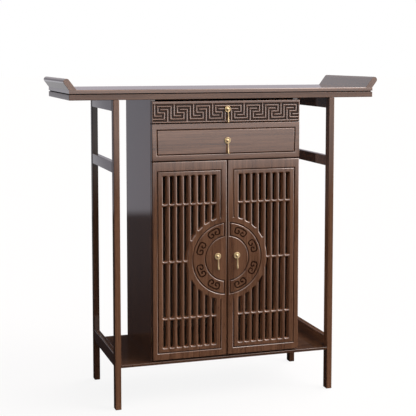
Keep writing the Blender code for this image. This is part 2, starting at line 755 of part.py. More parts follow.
def drop_profile():
    """From inside the eye down a slim neck to a full bulb near the end."""
    neck = DROP_NECK_RADIUS
    bulb = DROP_BULB_RADIUS
    start = -EYE_RADIUS / 2
    end = -DROP_LENGTH
    rounds = [(0, start), (neck, start)]
    rounds += [(neck, 0.18 * end), (neck + 0.15 * (bulb - neck), 0.45 * end),
               (neck + 0.62 * (bulb - neck), 0.72 * end)]
    centre = end + bulb
    rounds += [(bulb * math.cos(a), centre + bulb * math.sin(a))
               for a in (math.radians(8), math.radians(-30), math.radians(-62))]
    return rounds + [(0, end)]


def rod_along_x(name, radius, length, steps, location):
    bm = bmesh.new()
    bmesh.ops.create_cone(bm, cap_ends=True, segments=steps, radius1=radius, radius2=radius,
                          depth=length, matrix=Matrix.Rotation(math.pi / 2, 4, "Y"))
    return add_cutter(name, mesh_of(bm, name), location)


def build_pull(word, x, z, body):
    """A rosette fixed to the front, and a drop that swings on a pin through two ears."""
    face = (x, fronts_y - HAIRLINE, z)
    rosette = add_part("pull_" + word + "_rosette", turned_mesh("rosette", rosette_profile()), brass, face)
    rosette.rotation_euler = (math.pi / 2, 0, 0)
    turn(rosette, PULL_STEPS)
    hang(rosette, body)

    pin_y = fronts_y - PIN_OUT
    ear_inner = EYE_WIDTH / 2 + EAR_GAP
    ear_outer = ear_inner + EAR_THICKNESS
    bm = bmesh.new()
    for side in (-1, 1):
        xs = sorted((side * ear_inner, side * ear_outer))
        add_block(bm, (xs[0], -EYE_RADIUS * 0.8, -EYE_RADIUS * 0.8),
                  (xs[1], PIN_OUT - ROSETTE_HEIGHT / 2, EYE_RADIUS * 0.8))
    ears = add_cutter("ears_" + word, mesh_of(bm, "ears"), (x, pin_y, z))
    pin = rod_along_x("pin_" + word, PIN_RADIUS, ear_inner + ear_outer, HINGE_SIDES, (x, pin_y, z))
    combine(rosette, ears, "UNION")
    combine(rosette, pin, "UNION")

    axis = joint_empty("swing_" + word, (x, pin_y, z), body)
    drop = add_part("pull_" + word + "_drop", turned_mesh("drop", drop_profile()), brass, (x, pin_y, z))
    turn(drop, DROP_STEPS)
    eye = rod_along_x("eye_" + word, EYE_RADIUS, EYE_WIDTH, PULL_STEPS, (x, pin_y, z))
    bore = rod_along_x("bore_" + word, PIN_RADIUS + PIN_PLAY, 2 * EYE_WIDTH, HINGE_SIDES, (x, pin_y, z))
    combine(drop, eye, "UNION")
    combine(drop, bore, "DIFFERENCE")
    hang(drop, axis)


def shade_round_pieces():
    for part in parts.objects:
        if part.type == "MESH" and part.name.startswith("pull_"):
            part.data.shade_smooth()
            part.data.set_sharp_from_angle(angle=math.radians(40))


build_top()
build_wings()
build_legs()
build_side_rails()
build_shelf()
build_carcase()

upper_slide = joint_empty("slide_upper", (0, fronts_back_y, upper_deck_top))
lower_slide = joint_empty("slide_lower", (0, fronts_back_y, lower_deck_top))
build_upper_drawer(upper_slide)
build_lower_drawer(lower_slide)
build_pull("upper", 0, upper_front_bottom + UPPER_PULL_RISE, upper_slide)
build_pull("lower", 0, lower_front_bottom + LOWER_PULL_RISE, lower_slide)

for hand, name in ((-1, "left"), (1, "right")):
    swing = joint_empty("swing_door_" + name, (hand * hinge_axis_x, hinge_axis_y, door_middle))
    build_door(hand, name, swing)
    build_hinges(hand, name, swing)
    build_pull(name, hand * DOOR_PULL_OUT, door_middle + DOOR_PULL_RISE, swing)

shade_round_pieces()
bpy.context.view_layer.update()
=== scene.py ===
# %% [markdown]
# # A tall altar table in dark walnut
#
# The real table is a slim stand of four legs with a long top, whose ends turn out and up. A
# cupboard stands on a low shelf between the legs: a drawer with a raised key fret, a plain
# drawer, and two pierced doors that share one round medallion. The solids of all pieces come
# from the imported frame. This lesson gives them their fine edges, their carving, their lacquer
# and their brass, and sets them up for a photograph.

import json
import math

import bmesh
import bpy
from mathutils import Matrix, Vector


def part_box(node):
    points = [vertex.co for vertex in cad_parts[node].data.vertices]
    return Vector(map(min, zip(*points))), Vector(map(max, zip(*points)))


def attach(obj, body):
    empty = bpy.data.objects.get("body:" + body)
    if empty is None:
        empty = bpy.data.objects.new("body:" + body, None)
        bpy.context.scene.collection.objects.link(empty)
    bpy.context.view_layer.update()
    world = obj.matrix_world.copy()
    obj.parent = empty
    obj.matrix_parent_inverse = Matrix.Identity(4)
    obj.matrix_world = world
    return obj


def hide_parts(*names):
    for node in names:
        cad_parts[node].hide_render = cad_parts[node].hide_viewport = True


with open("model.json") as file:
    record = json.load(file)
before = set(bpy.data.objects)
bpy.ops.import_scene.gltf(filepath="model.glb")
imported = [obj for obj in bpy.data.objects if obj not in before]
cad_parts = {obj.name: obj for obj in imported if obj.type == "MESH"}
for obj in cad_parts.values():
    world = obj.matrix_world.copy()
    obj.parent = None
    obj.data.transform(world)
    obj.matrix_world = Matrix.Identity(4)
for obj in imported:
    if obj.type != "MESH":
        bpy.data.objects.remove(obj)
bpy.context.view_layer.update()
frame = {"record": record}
bodies = frame["record"]["behaviour"]["bodies"]
body_of_node = {node: body for body, nodes in bodies.items() for node in nodes}
print("nodes in the frame:", len(body_of_node))

# %% [markdown]
# ## The camera
#
# The picture was taken from a little to the left, at the height of the table top, with a long
# lens. Verticals stay upright when the camera is kept level and the lens is shifted down
# instead. Only part of that shift is used here and the rest is a slight tilt, so that the
# object also sits well in the frame when the camera is walked round it.

# %% Camera
FRAME_PIXELS = 416
FOCAL_PIXELS = 1049.9
EYE_ROW = 150.0
SENSOR_WIDTH = 36.0
CAMERA_AT = (-1.1210, -3.5158, 1.1660)
CAMERA_YAW = 17.596
CAMERA_TILT = 5.075

camera_data = bpy.data.cameras.new("table_camera")
camera_data.sensor_width = SENSOR_WIDTH
camera_data.lens = FOCAL_PIXELS * SENSOR_WIDTH / FRAME_PIXELS
camera_data.shift_y = (EYE_ROW - FRAME_PIXELS / 2) / FRAME_PIXELS
camera = bpy.data.objects.new("table_camera", camera_data)
camera.location = CAMERA_AT
camera.rotation_euler = (math.radians(90 - CAMERA_TILT), 0, math.radians(-CAMERA_YAW))
bpy.context.scene.collection.objects.link(camera)
bpy.context.scene.camera = camera
print("lens", round(camera_data.lens, 1), "mm, shift", round(camera_data.shift_y, 3))

# %% [markdown]
# ## A studio drawn in the world
#
# Lacquer shows its surroundings, so the room matters more than the lamps. The panels that a
# photographer would stand round the table are drawn into the world by direction. Each one is
# a mask, which is a product of soft fades along the three coordinates of the direction, times
# a colour. The camera itself sees plain white paper, so none of the panels shows behind the
# table.

# %% World helpers
bpy.context.scene.view_settings.view_transform = "Standard"
world = bpy.data.worlds.new("studio_room")
world.use_nodes = True
bpy.context.scene.world = world
room_nodes = world.node_tree.nodes
room_links = world.node_tree.links
room_direction = room_nodes.new("ShaderNodeTexCoord").outputs["Generated"]
split_direction = room_nodes.new("ShaderNodeSeparateXYZ")
room_links.new(room_direction, split_direction.inputs[0])
ahead_x, ahead_y, ahead_z = split_direction.outputs


def feed(links, socket, value):
    """Link a node's output to a socket, or set a plain number or colour there."""
    if isinstance(value, bpy.types.NodeSocket):
        links.new(value, socket)
    else:
        socket.default_value = value


def room_math(operation, *values):
    node = room_nodes.new("ShaderNodeMath")
    node.operation = operation
    for socket, value in zip(node.inputs, values):
        feed(room_links, socket, value)
    return node.outputs[0]


def room_vectors(operation, *values):
    node = room_nodes.new("ShaderNodeVectorMath")
    node.operation = operation
    for socket, value in zip(node.inputs, values):
        feed(room_links, socket, value)
    return node


print("world helpers ready")

# %% [markdown]
# A mask is 1 where a panel is and 0 elsewhere. Masks are multiplied to cut one by another, and
# the last step gives a mask its colour.

# %% Masks
def fade(value, start, end):
    """0 before start, 1 past end, soft between."""
    node = room_nodes.new("ShaderNodeMapRange")
    node.interpolation_type = "SMOOTHSTEP"
    node.inputs["From Min"].default_value = start
    node.inputs["From Max"].default_value = end
    room_links.new(value, node.inputs["Value"])
    return node.outputs[0]


def masked(first, *others):
    """The product of several masks."""
    product = first
    for mask in others:
        product = room_math("MULTIPLY", product, mask)
    return product


def parted(value, gap):
    """1 below and above a gap, soft towards its 0."""
    return room_math("ADD", fade(value, gap[1], gap[0]), fade(value, gap[2], gap[3]))


def stepped(value, weak, share, full):
    """Rises to a share of the light over one range, and to all of it over a second."""
    return room_math("MAXIMUM", masked(fade(value, *weak), share), fade(value, *full))


def tinted(mask, colour):
    node = room_vectors("SCALE", colour)
    room_links.new(mask, node.inputs["Scale"])
    return node.outputs[0]


print("mask helpers ready")

# %% [markdown]
# ## Grey walls behind the table
#
# The left faces of the table mirror what stands behind it. Grey walls there put the even grey
# sheen on them, and the walls' foot draws the crisp line where the sheen ends on the side of
# the cupboard. Higher up the walls are parted where the top mirrors them when it is seen from
# some fifteen degrees above, so that it stays dark there.

# %% Walls
LEAST_AHEAD = 0.001
WALL_COLOUR = (0.355, 0.347, 0.388)
WALL_FOOT = (-0.153, -0.143)
WALL_GLOW = (-0.27, -0.15)
WALL_GLOW_SHARE = 0.10
WALL_GAP = (0.14, 0.19, 0.30, 0.36)
WALL_END = (-0.41, -0.35)
WALL_BRIGHTER = (-0.12, 0.22)
WALL_BRIGHTER_SHARE = 1 / 5.5
WALL_BEHIND = (0.0, 0.2)

sideways = room_math("DIVIDE", ahead_x, room_math("MAXIMUM", ahead_y, LEAST_AHEAD))
wall_foot = stepped(ahead_z, WALL_GLOW, WALL_GLOW_SHARE, WALL_FOOT)
brighter = room_math("MULTIPLY_ADD", fade(sideways, *WALL_BRIGHTER), WALL_BRIGHTER_SHARE, 1.0)
wall_mask = masked(parted(ahead_z, WALL_GAP), wall_foot, fade(sideways, *WALL_END), brighter,
                   fade(ahead_y, *WALL_BEHIND))
walls = tinted(wall_mask, WALL_COLOUR)
print("walls end at", WALL_FOOT, "below eye level")

# %% [markdown]
# ## Fill and soft box
#
# Two round patches in front light the fronts: a warm fill above the camera, and a big soft box
# on the right, which fades towards the floor. A patch is a fade over the angle between a
# direction and its middle.

# %% Fill and soft box
FILL_COLOUR = (2.10, 1.80, 1.65)
FILL_TOWARDS = (-0.16, -0.75, 0.66)
FILL_ANGLES = (34, 15)
BOX_COLOUR = (1.12, 1.06, 1.06)
BOX_TOWARDS = (0.42, -0.86, 0.28)
BOX_ANGLES = (58, 34)
BOX_FOOT = (-0.150, -0.062)


def soft_patch(towards, angles):
    """A round patch; angles are where it starts and where it is full."""
    facing = room_vectors("DOT_PRODUCT", room_direction, Vector(towards).normalized())
    start, full = (math.cos(math.radians(a)) for a in angles)
    return fade(facing.outputs["Value"], start, full)


fill = tinted(soft_patch(FILL_TOWARDS, FILL_ANGLES), FILL_COLOUR)
box = tinted(masked(soft_patch(BOX_TOWARDS, BOX_ANGLES), fade(ahead_z, *BOX_FOOT)), BOX_COLOUR)
print("soft box towards", BOX_TOWARDS)

# %% [markdown]
# ## Card and strip
#
# A grey card right behind the table is mirrored in both turned-out ends; it is parted at the
# height where the top itself would mirror it. A bright strip on the right draws the thin pale
# lines along every rounded lip that turns that way, and reaches down with about half its
# strength.

# %% Card and strip
CARD_COLOUR = (0.45, 0.45, 0.46)
CARD_HALF = (0.215, 0.185)
CARD_FOOT = (-0.25, -0.20)
CARD_GAP = (-0.05, -0.01, 0.10, 0.20)
CARD_HEAD = (0.62, 0.50)
STRIP_COLOUR = (5.2, 4.7, 4.5)
STRIP_HALF = (0.78, 0.56)
STRIP_START = (0.22, 0.40)
STRIP_FOOT = (-0.14, -0.04)
STRIP_TAIL = (-0.28, -0.14)
STRIP_TAIL_SHARE = 0.55

card_mask = masked(fade(room_math("ABSOLUTE", sideways), *CARD_HALF), fade(ahead_z, *CARD_FOOT),
                   parted(ahead_z, CARD_GAP), fade(ahead_z, *CARD_HEAD))
card = tinted(card_mask, CARD_COLOUR)
strip_mask = masked(fade(room_math("ABSOLUTE", ahead_y), *STRIP_HALF), fade(ahead_x, *STRIP_START),
                    stepped(ahead_z, STRIP_TAIL, STRIP_TAIL_SHARE, STRIP_FOOT))
strip = tinted(strip_mask, STRIP_COLOUR)
print("card and strip drawn")

# %% [markdown]
# ## The room as light, the paper as background
#
# The panels and a faint warm room colour are added up for everything but the camera's own
# rays. Those see white.

# %% World
ROOM_COLOUR = (0.037, 0.027, 0.027)
PAPER_COLOUR = (1.0, 1.0, 1.0, 1.0)

studio_colour = ROOM_COLOUR
for panel in (walls, fill, box, card, strip):
    studio_colour = room_vectors("ADD", studio_colour, panel).outputs[0]
studio = room_nodes["Background"]
room_links.new(studio_colour, studio.inputs["Color"])
paper = room_nodes.new("ShaderNodeBackground")
paper.inputs["Color"].default_value = PAPER_COLOUR
seen = room_nodes.new("ShaderNodeMixShader")
room_links.new(room_nodes.new("ShaderNodeLightPath").outputs["Is Camera Ray"], seen.inputs[0])
room_links.new(studio.outputs[0], seen.inputs[1])
room_links.new(paper.outputs[0], seen.inputs[2])
room_links.new(seen.outputs[0], room_nodes["World Output"].inputs["Surface"])
print("world nodes:", len(room_nodes))

# %% [markdown]
# ## One lamp
#
# A single warm sun from the right, as wide as a soft box, gives the wood its colour and the
# carving its soft shadows. It could be an area lamp, but a sun needs no distance.

# %% Key light
KEY_TOWARDS = (0.70, -0.40, 0.62)
KEY_STRENGTH = 0.9
KEY_SPREAD = 22.0
KEY_COLOUR = (1.0, 0.93, 0.88)

key_data = bpy.data.lights.new("key_lamp", "SUN")
key_data.energy = KEY_STRENGTH
key_data.angle = math.radians(KEY_SPREAD)
key_data.color = KEY_COLOUR
key_lamp = bpy.data.objects.new("key_lamp", key_data)
key_lamp.rotation_euler = Vector(KEY_TOWARDS).to_track_quat("Z", "Y").to_euler()
bpy.context.scene.collection.objects.link(key_lamp)

# %% [markdown]
# ## The floor
#
# A plain pale disc. Most of its white is a glow of its own, so the shadow on it stays faint, as
# on the paper of a studio. Reflections and bounced light leave it out, so that the glow does
# not light the table from below.

# %% Floor
FLOOR_RADIUS = 60.0
FLOOR_SIDES = 96
FLOOR_PAINT = (0.06, 0.06, 0.06, 1.0)
FLOOR_ROUGHNESS = 0.9
FLOOR_GLOW_COLOUR = (1.0, 1.0, 1.0, 1.0)
FLOOR_GLOW = 0.88

floor_mesh = bmesh.new()
bmesh.ops.create_circle(floor_mesh, cap_ends=True, segments=FLOOR_SIDES, radius=FLOOR_RADIUS)
floor_data = bpy.data.meshes.new("pale_floor")
floor_mesh.to_mesh(floor_data)
floor_mesh.free()
floor = bpy.data.objects.new("pale_floor", floor_data)
bpy.context.scene.collection.objects.link(floor)
pale = bpy.data.materials.new("pale_floor_paint")
pale.use_nodes = True
pale_shader = pale.node_tree.nodes["Principled BSDF"]
pale_shader.inputs["Base Color"].default_value = FLOOR_PAINT
pale_shader.inputs["Roughness"].default_value = FLOOR_ROUGHNESS
pale_shader.inputs["Specular IOR Level"].default_value = 0.0
pale_shader.inputs["Emission Color"].default_value = FLOOR_GLOW_COLOUR
pale_shader.inputs["Emission Strength"].default_value = FLOOR_GLOW
floor_data.materials.append(pale)
floor.visible_glossy = False
floor.visible_diffuse = False
print("floor radius", FLOOR_RADIUS)

# %% [markdown]
# ## Patterns for all materials
#
# Wood and worn metal are both noise, drawn out along one axis or not. The noise reads Object
# coordinates, which the pieces share with the frame, and a Mapping node stretches and shifts
# it, so each board is cut from another part of the tree. A ramp turns the noise into colours.

# %% Pattern helpers
AXES = "XYZ"
NOISE_ROUGHNESS = 0.6


def new_material(name):
    """A material, its nodes, its links, its shader and its Object coordinates."""
    material = bpy.data.materials.new(name)
    material.use_nodes = True
    nodes = material.node_tree.nodes
    places = nodes.new("ShaderNodeTexCoord").outputs["Object"]
    return material, nodes, material.node_tree.links, nodes["Principled BSDF"], places


def stretched_noise(nodes, links, places, along, shift, pattern):
    """Noise drawn out along an axis; pattern holds features a metre, detail and distortion."""
    across_scale, along_scale, detail, distortion = pattern
    mapping = nodes.new("ShaderNodeMapping")
    scale = [across_scale] * 3
    scale[AXES.index(along)] = along_scale
    mapping.inputs["Scale"].default_value = scale
    mapping.inputs["Location"].default_value = shift
    links.new(places, mapping.inputs["Vector"])
    noise = nodes.new("ShaderNodeTexNoise")
    noise.inputs["Scale"].default_value = 1.0
    noise.inputs["Detail"].default_value = detail
    noise.inputs["Roughness"].default_value = NOISE_ROUGHNESS
    noise.inputs["Distortion"].default_value = distortion
    links.new(mapping.outputs[0], noise.inputs["Vector"])
    return noise.outputs["Fac"]


def ramp(nodes, links, source, stops, colours):
    """A colour that runs through colours as source passes the stops."""
    made = nodes.new("ShaderNodeValToRGB")
    elements = made.color_ramp.elements
    while len(elements) < len(stops):
        elements.new(0.5)
    for element, place, colour in zip(elements, stops, colours):
        element.position = place
        element.color = (*colour, 1.0)
    links.new(source, made.inputs[0])
    return made.outputs[0]


print("pattern helpers ready")

# %% [markdown]
# ## Mixing and relief
#
# The other nodes that the finishes need: a mix of two colours, a stain that multiplies one
# colour with another, a number that follows a pattern, and a shallow bump.

# %% Mixing helpers
BUMP_DISTANCE = 0.0003


def mixed(nodes, links, factor, first, second, blend="MIX"):
    made = nodes.new("ShaderNodeMix")
    made.data_type = "RGBA"
    made.blend_type = blend
    for number, value in ((0, factor), (6, first), (7, second)):
        feed(links, made.inputs[number], value)
    return made.outputs[2]


def stained(nodes, links, colour, stain):
    """The colour under a see-through stain."""
    return mixed(nodes, links, 1.0, colour, (*stain, 1.0), "MULTIPLY")


def between(nodes, links, source, low, high):
    """A number that runs from low to high as source runs from 0 to 1."""
    made = nodes.new("ShaderNodeMapRange")
    made.inputs["To Min"].default_value = low
    made.inputs["To Max"].default_value = high
    links.new(source, made.inputs["Value"])
    return made.outputs[0]


def scaled(nodes, links, source, times, plus=0.0):
    """The source times one number, plus another number or output."""
    made = nodes.new("ShaderNodeMath")
    made.operation = "MULTIPLY_ADD"
    for socket, value in zip(made.inputs, (source, times, plus)):
        feed(links, socket, value)
    return made.outputs[0]


def add_bump(nodes, links, shader, height, strength):
    bump = nodes.new("ShaderNodeBump")
    bump.inputs["Strength"].default_value = strength
    bump.inputs["Distance"].default_value = BUMP_DISTANCE
    links.new(height, bump.inputs["Height"])
    links.new(bump.outputs[0], shader.inputs["Normal"])


print("mixing helpers ready")

# %% [markdown]
# ## Walnut
#
# The wood is straight grained: long dark and light streaks, a slow change of tone from board to
# board, and short dark pores. One noise drawn out along the grain makes the streaks, a broad
# one the change of tone, and a very fine one the pores, which are also the only relief.

# %% Walnut grain
WALNUT_DARK = (0.052, 0.0235, 0.013)
WALNUT_MIDDLE = (0.100, 0.050, 0.028)
WALNUT_LIGHT = (0.160, 0.086, 0.051)
PORE = (0.45, 0.38, 0.34)
CLEAR = (1.0, 1.0, 1.0)
STREAKS = (210.0, 3.2, 5.0, 0.35)
STREAK_STOPS = (0.30, 0.50, 0.72)
FIGURE = (30.0, 1.5, 3.0, 1.2)
FIGURE_STOPS = (0.32, 0.52, 0.70)
FIGURE_SHARE = 0.45
PORES = (1300.0, 34.0, 2.0, 0.0)
PORE_STOPS = (0.36, 0.46)
PORE_SHARE = 0.6


def walnut_grain(nodes, links, places, along, shift):
    """The colour of the wood, its streaks and its pores."""
    streaks = stretched_noise(nodes, links, places, along, shift, STREAKS)
    figure = stretched_noise(nodes, links, places, along, shift, FIGURE)
    pores = stretched_noise(nodes, links, places, along, shift, PORES)
    tones = (WALNUT_DARK, WALNUT_MIDDLE, WALNUT_LIGHT)
    fine = ramp(nodes, links, streaks, STREAK_STOPS, tones)
    broad = ramp(nodes, links, figure, FIGURE_STOPS, tones)
    wood = mixed(nodes, links, FIGURE_SHARE, fine, broad)
    holes = ramp(nodes, links, pores, PORE_STOPS, (PORE, CLEAR))
    return mixed(nodes, links, PORE_SHARE, wood, holes, "MULTIPLY"), streaks, holes


print("walnut tones:", WALNUT_DARK, "to", WALNUT_LIGHT)

# %% [markdown]
# ## Stain, painted shade and lacquer
#
# The boards are stained, and a satin lacquer is sprayed over it all. The carved pieces hold a
# number at each point, named painted_shading. Above 0 it is painted shade: it darkens the wood
# and takes away its shine in the cuts, steps and gaps, where the shade falls. Below 0 it marks
# the walls of the slots, which are painted paler, as painted light on them. The lacquer is a
# thin clear coat, smoother than the wood and a little more mirror-like than real lacquer,
# because all of the studio's grey sheen comes from it.

# %% Walnut finish
# painted shade: the dark stain, thinner lacquer and extra roughness in the cuts
PAINTED_SHADE = (0.14, 0.12, 0.11)
PAINTED_SHADE_COAT = 0.08
PAINTED_SHADE_DULLING = 0.35
# painted light: how much paler the slot walls are painted
PAINTED_WALL_LIGHT = (2.9, 3.0, 3.0)
SHEEN = (0.42, 0.30)
COAT_ROUGHNESS = 0.055
COAT_IOR = 2.0
WALNUT_BUMP = 0.10


def walnut(name, along, shift, painted_tone=1.0, coat=1.0, cuts=False):
    """Dark walnut with its grain along one axis; painted_tone scales the colour: painted shade below 1,
    painted light above 1.
    """
    material, nodes, links, shader, places = new_material(name)
    colour, streaks, holes = walnut_grain(nodes, links, places, along, shift)
    if painted_tone != 1.0:
        colour = stained(nodes, links, colour, (painted_tone, painted_tone, painted_tone))
    sheen = between(nodes, links, streaks, *SHEEN)
    # painted shading: paler slot walls as painted light, darker and duller cuts as painted shade
    if cuts:
        attribute = nodes.new("ShaderNodeAttribute")
        attribute.attribute_name = "painted_shading"
        painted_amount = attribute.outputs["Fac"]
        painted_light_share = scaled(nodes, links, painted_amount, -1.0)
        colour = mixed(nodes, links, painted_light_share, colour, stained(nodes, links, colour, PAINTED_WALL_LIGHT))
        colour = mixed(nodes, links, painted_amount, colour, stained(nodes, links, colour, PAINTED_SHADE))
        sheen = scaled(nodes, links, between(nodes, links, painted_amount, 0.0, 1.0), PAINTED_SHADE_DULLING, sheen)
        coat = between(nodes, links, painted_amount, coat, PAINTED_SHADE_COAT)
    feed(links, shader.inputs["Coat Weight"], coat)
    links.new(colour, shader.inputs["Base Color"])
    links.new(sheen, shader.inputs["Roughness"])
    add_bump(nodes, links, shader, holes, WALNUT_BUMP)
    shader.inputs["Coat Roughness"].default_value = COAT_ROUGHNESS
    shader.inputs["Coat IOR"].default_value = COAT_IOR
    shader.inputs["Specular IOR Level"].default_value = 0.0
    return material


print("walnut finish ready")

# %% [markdown]
# Each kind of board gets its own cut of the tree and its own tone. The back legs, the rails and
# the shelf stand in the shade on the real table; their darker tone and thinner lacquer are
# painted shade. The cupboard's sides get a lighter tone, as painted light.

# %% Walnut boards
walnut_top = walnut("walnut_top", "X", (0.0, 0.0, 0.0))
walnut_under = walnut("walnut_under", "X", (3.1, 7.7, 2.9), painted_tone=0.8, coat=0.6, cuts=True)
walnut_wing = walnut("walnut_wing", "Y", (5.3, 1.9, 4.4))
walnut_leg = walnut("walnut_leg", "Z", (2.2, 9.4, 1.3), painted_tone=0.95, coat=0.6)
walnut_back_leg_painted_shade = walnut("walnut_back_leg_painted_shade", "Z", (9.1, 2.6, 5.7), painted_tone=0.55, coat=0.4)
walnut_rail_painted_shade = walnut("walnut_rail_painted_shade", "Y", (8.8, 3.3, 6.1), painted_tone=0.7)
walnut_side_painted_light = walnut("walnut_side_painted_light", "Z", (4.6, 5.5, 8.2), painted_tone=1.15)
walnut_shelf_painted_shade = walnut("walnut_shelf_painted_shade", "X", (6.4, 2.7, 9.1), painted_tone=0.55)
# the gap lips: near black and almost without lacquer, as painted shade in the gaps
walnut_lip_painted_shade = walnut("walnut_lip_painted_shade", "X", (5.9, 3.7, 2.3), painted_tone=0.12, coat=0.1)
walnut_drawer = walnut("walnut_drawer", "X", (9.7, 8.1, 3.6), cuts=True)
walnut_fret = walnut("walnut_fret", "X", (1.7, 4.2, 5.8), cuts=True)
walnut_door_left = walnut("walnut_door_left", "Z", (7.2, 6.6, 0.7), cuts=True)
walnut_door_right = walnut("walnut_door_right", "Z", (3.9, 0.8, 7.4), cuts=True)
print("walnut materials:", sum(m.name.startswith("walnut") for m in bpy.data.materials))

# %% [markdown]
# ## Plain inner wood
#
# Drawer boxes, decks, floor and back are a plain wood without lacquer, stained to a dull brown
# that goes with the walnut. The decks' front edges are painted almost black as painted shade,
# so that they read dark in the gaps between the fronts. That needs no second material: the
# painted shade fades in over the last millimetres of the front.

# %% Plain inner wood
PLAIN_DARK = (0.053, 0.033, 0.022)
PLAIN_LIGHT = (0.098, 0.066, 0.045)
PLAIN_STREAKS = (160.0, 4.0, 4.0, 0.3)
PLAIN_STOPS = (0.30, 0.70)
PLAIN_BUMP = 0.15
PLAIN_ROUGHNESS = 0.62
# painted shade on the decks' front edges, which are seen in the gaps
GAP_PAINTED_SHADE = (0.16, 0.13, 0.11)
EDGE_DEPTH = 0.006


def with_gap_painted_shade(nodes, links, places, colour, front_y):
    """The colour with painted shade on the front edges, which are at front_y."""
    place = nodes.new("ShaderNodeSeparateXYZ")
    links.new(places, place.inputs[0])
    fading = nodes.new("ShaderNodeMapRange")
    fading.inputs["From Min"].default_value = front_y + EDGE_DEPTH
    fading.inputs["From Max"].default_value = front_y + EDGE_DEPTH / 2
    links.new(place.outputs["Y"], fading.inputs["Value"])
    return mixed(nodes, links, fading.outputs[0], colour, stained(nodes, links, colour, GAP_PAINTED_SHADE))


def plain_wood(name, along, shift, front_y=None):
    material, nodes, links, shader, places = new_material(name)
    streaks = stretched_noise(nodes, links, places, along, shift, PLAIN_STREAKS)
    colour = ramp(nodes, links, streaks, PLAIN_STOPS, (PLAIN_DARK, PLAIN_LIGHT))
    if front_y is not None:
        colour = with_gap_painted_shade(nodes, links, places, colour, front_y)
    links.new(colour, shader.inputs["Base Color"])
    add_bump(nodes, links, shader, streaks, PLAIN_BUMP)
    shader.inputs["Roughness"].default_value = PLAIN_ROUGHNESS
    return material


case_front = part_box("cabinet_floor")[0][1]
plain_x = plain_wood("plain_wood_across", "X", (2.0, 5.0, 8.0))
plain_y = plain_wood("plain_wood_deep", "Y", (7.0, 1.0, 3.0))
plain_z = plain_wood("plain_wood_upright", "Z", (4.0, 9.0, 6.0))
plain_deck = plain_wood("plain_wood_deck", "X", (1.0, 6.0, 5.0), front_y=case_front)
print("plain wood made, case front at", round(case_front, 4))

# %% [markdown]
# ## Brass
#
# The fittings are brass, polished and then a little dulled in patches by hands. One noise of
# small patches drives both the colour and the haze, so the dull places are also the rougher
# ones.

# %% Brass
BRASS_BRIGHT = (0.60, 0.49, 0.30)
BRASS_DULL = (0.42, 0.33, 0.17)
BRASS_PATCHES = (260.0, 180.0, 3.0, 0.2)
BRASS_STOPS = (0.30, 0.62)
BRASS_HAZE = (0.46, 0.32)

brass, nodes, links, shader, places = new_material("worn_brass")
patches = stretched_noise(nodes, links, places, "Z", (0.0, 0.0, 0.0), BRASS_PATCHES)
links.new(ramp(nodes, links, patches, BRASS_STOPS, (BRASS_DULL, BRASS_BRIGHT)), shader.inputs["Base Color"])
links.new(between(nodes, links, patches, *BRASS_HAZE), shader.inputs["Roughness"])
shader.inputs["Metallic"].default_value = 1.0
print("brass made")

# %% [markdown]
# ## From a bmesh to a piece of the table
#
# Each piece is drawn in its place, so its object stays at the origin. It rides on the body of
# the node it stands for and hides that node. Faces that meet at a small angle are shaded as
# one round, and a weighted normal keeps the flat faces flat beside their rounded edges.

# %% Finish a piece
SMOOTH_BELOW = math.radians(40.0)


def finish_piece(bm, name, node, material, replace=True):
    mesh = bpy.data.meshes.new(name)
    bm.to_mesh(mesh)
    bm.free()
    mesh.materials.append(material)
    mesh.shade_smooth()
    mesh.set_sharp_from_angle(angle=SMOOTH_BELOW)
    piece = bpy.data.objects.new(name, mesh)
    bpy.context.scene.collection.objects.link(piece)
    even = piece.modifiers.new("even_shading", "WEIGHTED_NORMAL")
    even.keep_sharp = True
    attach(piece, body_of_node[node])
    if replace:
        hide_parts(node)
    return piece


# %% [markdown]
# ## Eased boards
#
# Most of the table is plain boards. On the real one each edge is broken with a plane or with
# sandpaper, and that narrow round is what catches the light. A cube stretched to the node's
# box and bevelled on all its edges gives just that. The posts get the widest easing, the
# drawer boxes the narrowest.

# %% Eased boards
POST_EASING = 0.0016
CASE_EASING = 0.0010
BOX_EASING = 0.0006
EASING_STEPS = 3


def block(low, high):
    """A new bmesh with one box in it."""
    low = Vector(low)
    high = Vector(high)
    bm = bmesh.new()
    place = Matrix.Translation((low + high) / 2) @ Matrix.Diagonal((*(high - low), 1.0))
    bmesh.ops.create_cube(bm, size=1.0, matrix=place)
    return bm


def round_edges(bm, edges, radius, steps):
    bmesh.ops.bevel(bm, geom=edges, offset=radius, segments=steps, profile=0.5, affect="EDGES",
                    material=-1)


def eased_board(node, material, radius):
    """The node's board with all its edges rounded."""
    bm = block(*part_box(node))
    round_edges(bm, bm.edges[:], radius, EASING_STEPS)
    finish_piece(bm, "fine_" + node, node, material)


for side in ("left", "right"):
    eased_board("leg_front_" + side, walnut_leg, POST_EASING)
    eased_board("leg_back_" + side, walnut_back_leg_painted_shade, POST_EASING)
    for level in ("lower", "middle", "upper"):
        eased_board("rail_" + level + "_" + side, walnut_rail_painted_shade, POST_EASING)
    eased_board("cabinet_side_" + side, walnut_side_painted_light, CASE_EASING)
eased_board("cabinet_back", plain_z, BOX_EASING)
for node in ("cabinet_floor", "upper_drawer_deck", "lower_drawer_deck"):
    eased_board(node, plain_deck, BOX_EASING)
for drawer in ("drawer_upper", "drawer_lower"):
    for side in ("left", "right"):
        eased_board(drawer + "_side_" + side, plain_y, BOX_EASING)
    eased_board(drawer + "_back", plain_x, BOX_EASING)
    eased_board(drawer + "_bottom", plain_x, BOX_EASING)

# %% [markdown]
# ## The top
#
# Two boards make the top. The upper one has a soft round on its long edges.

# %% Top board
TOP_ROUNDING = 0.0030
TOP_EDGE_STEPS = 5
LONG_EDGE = 0.1

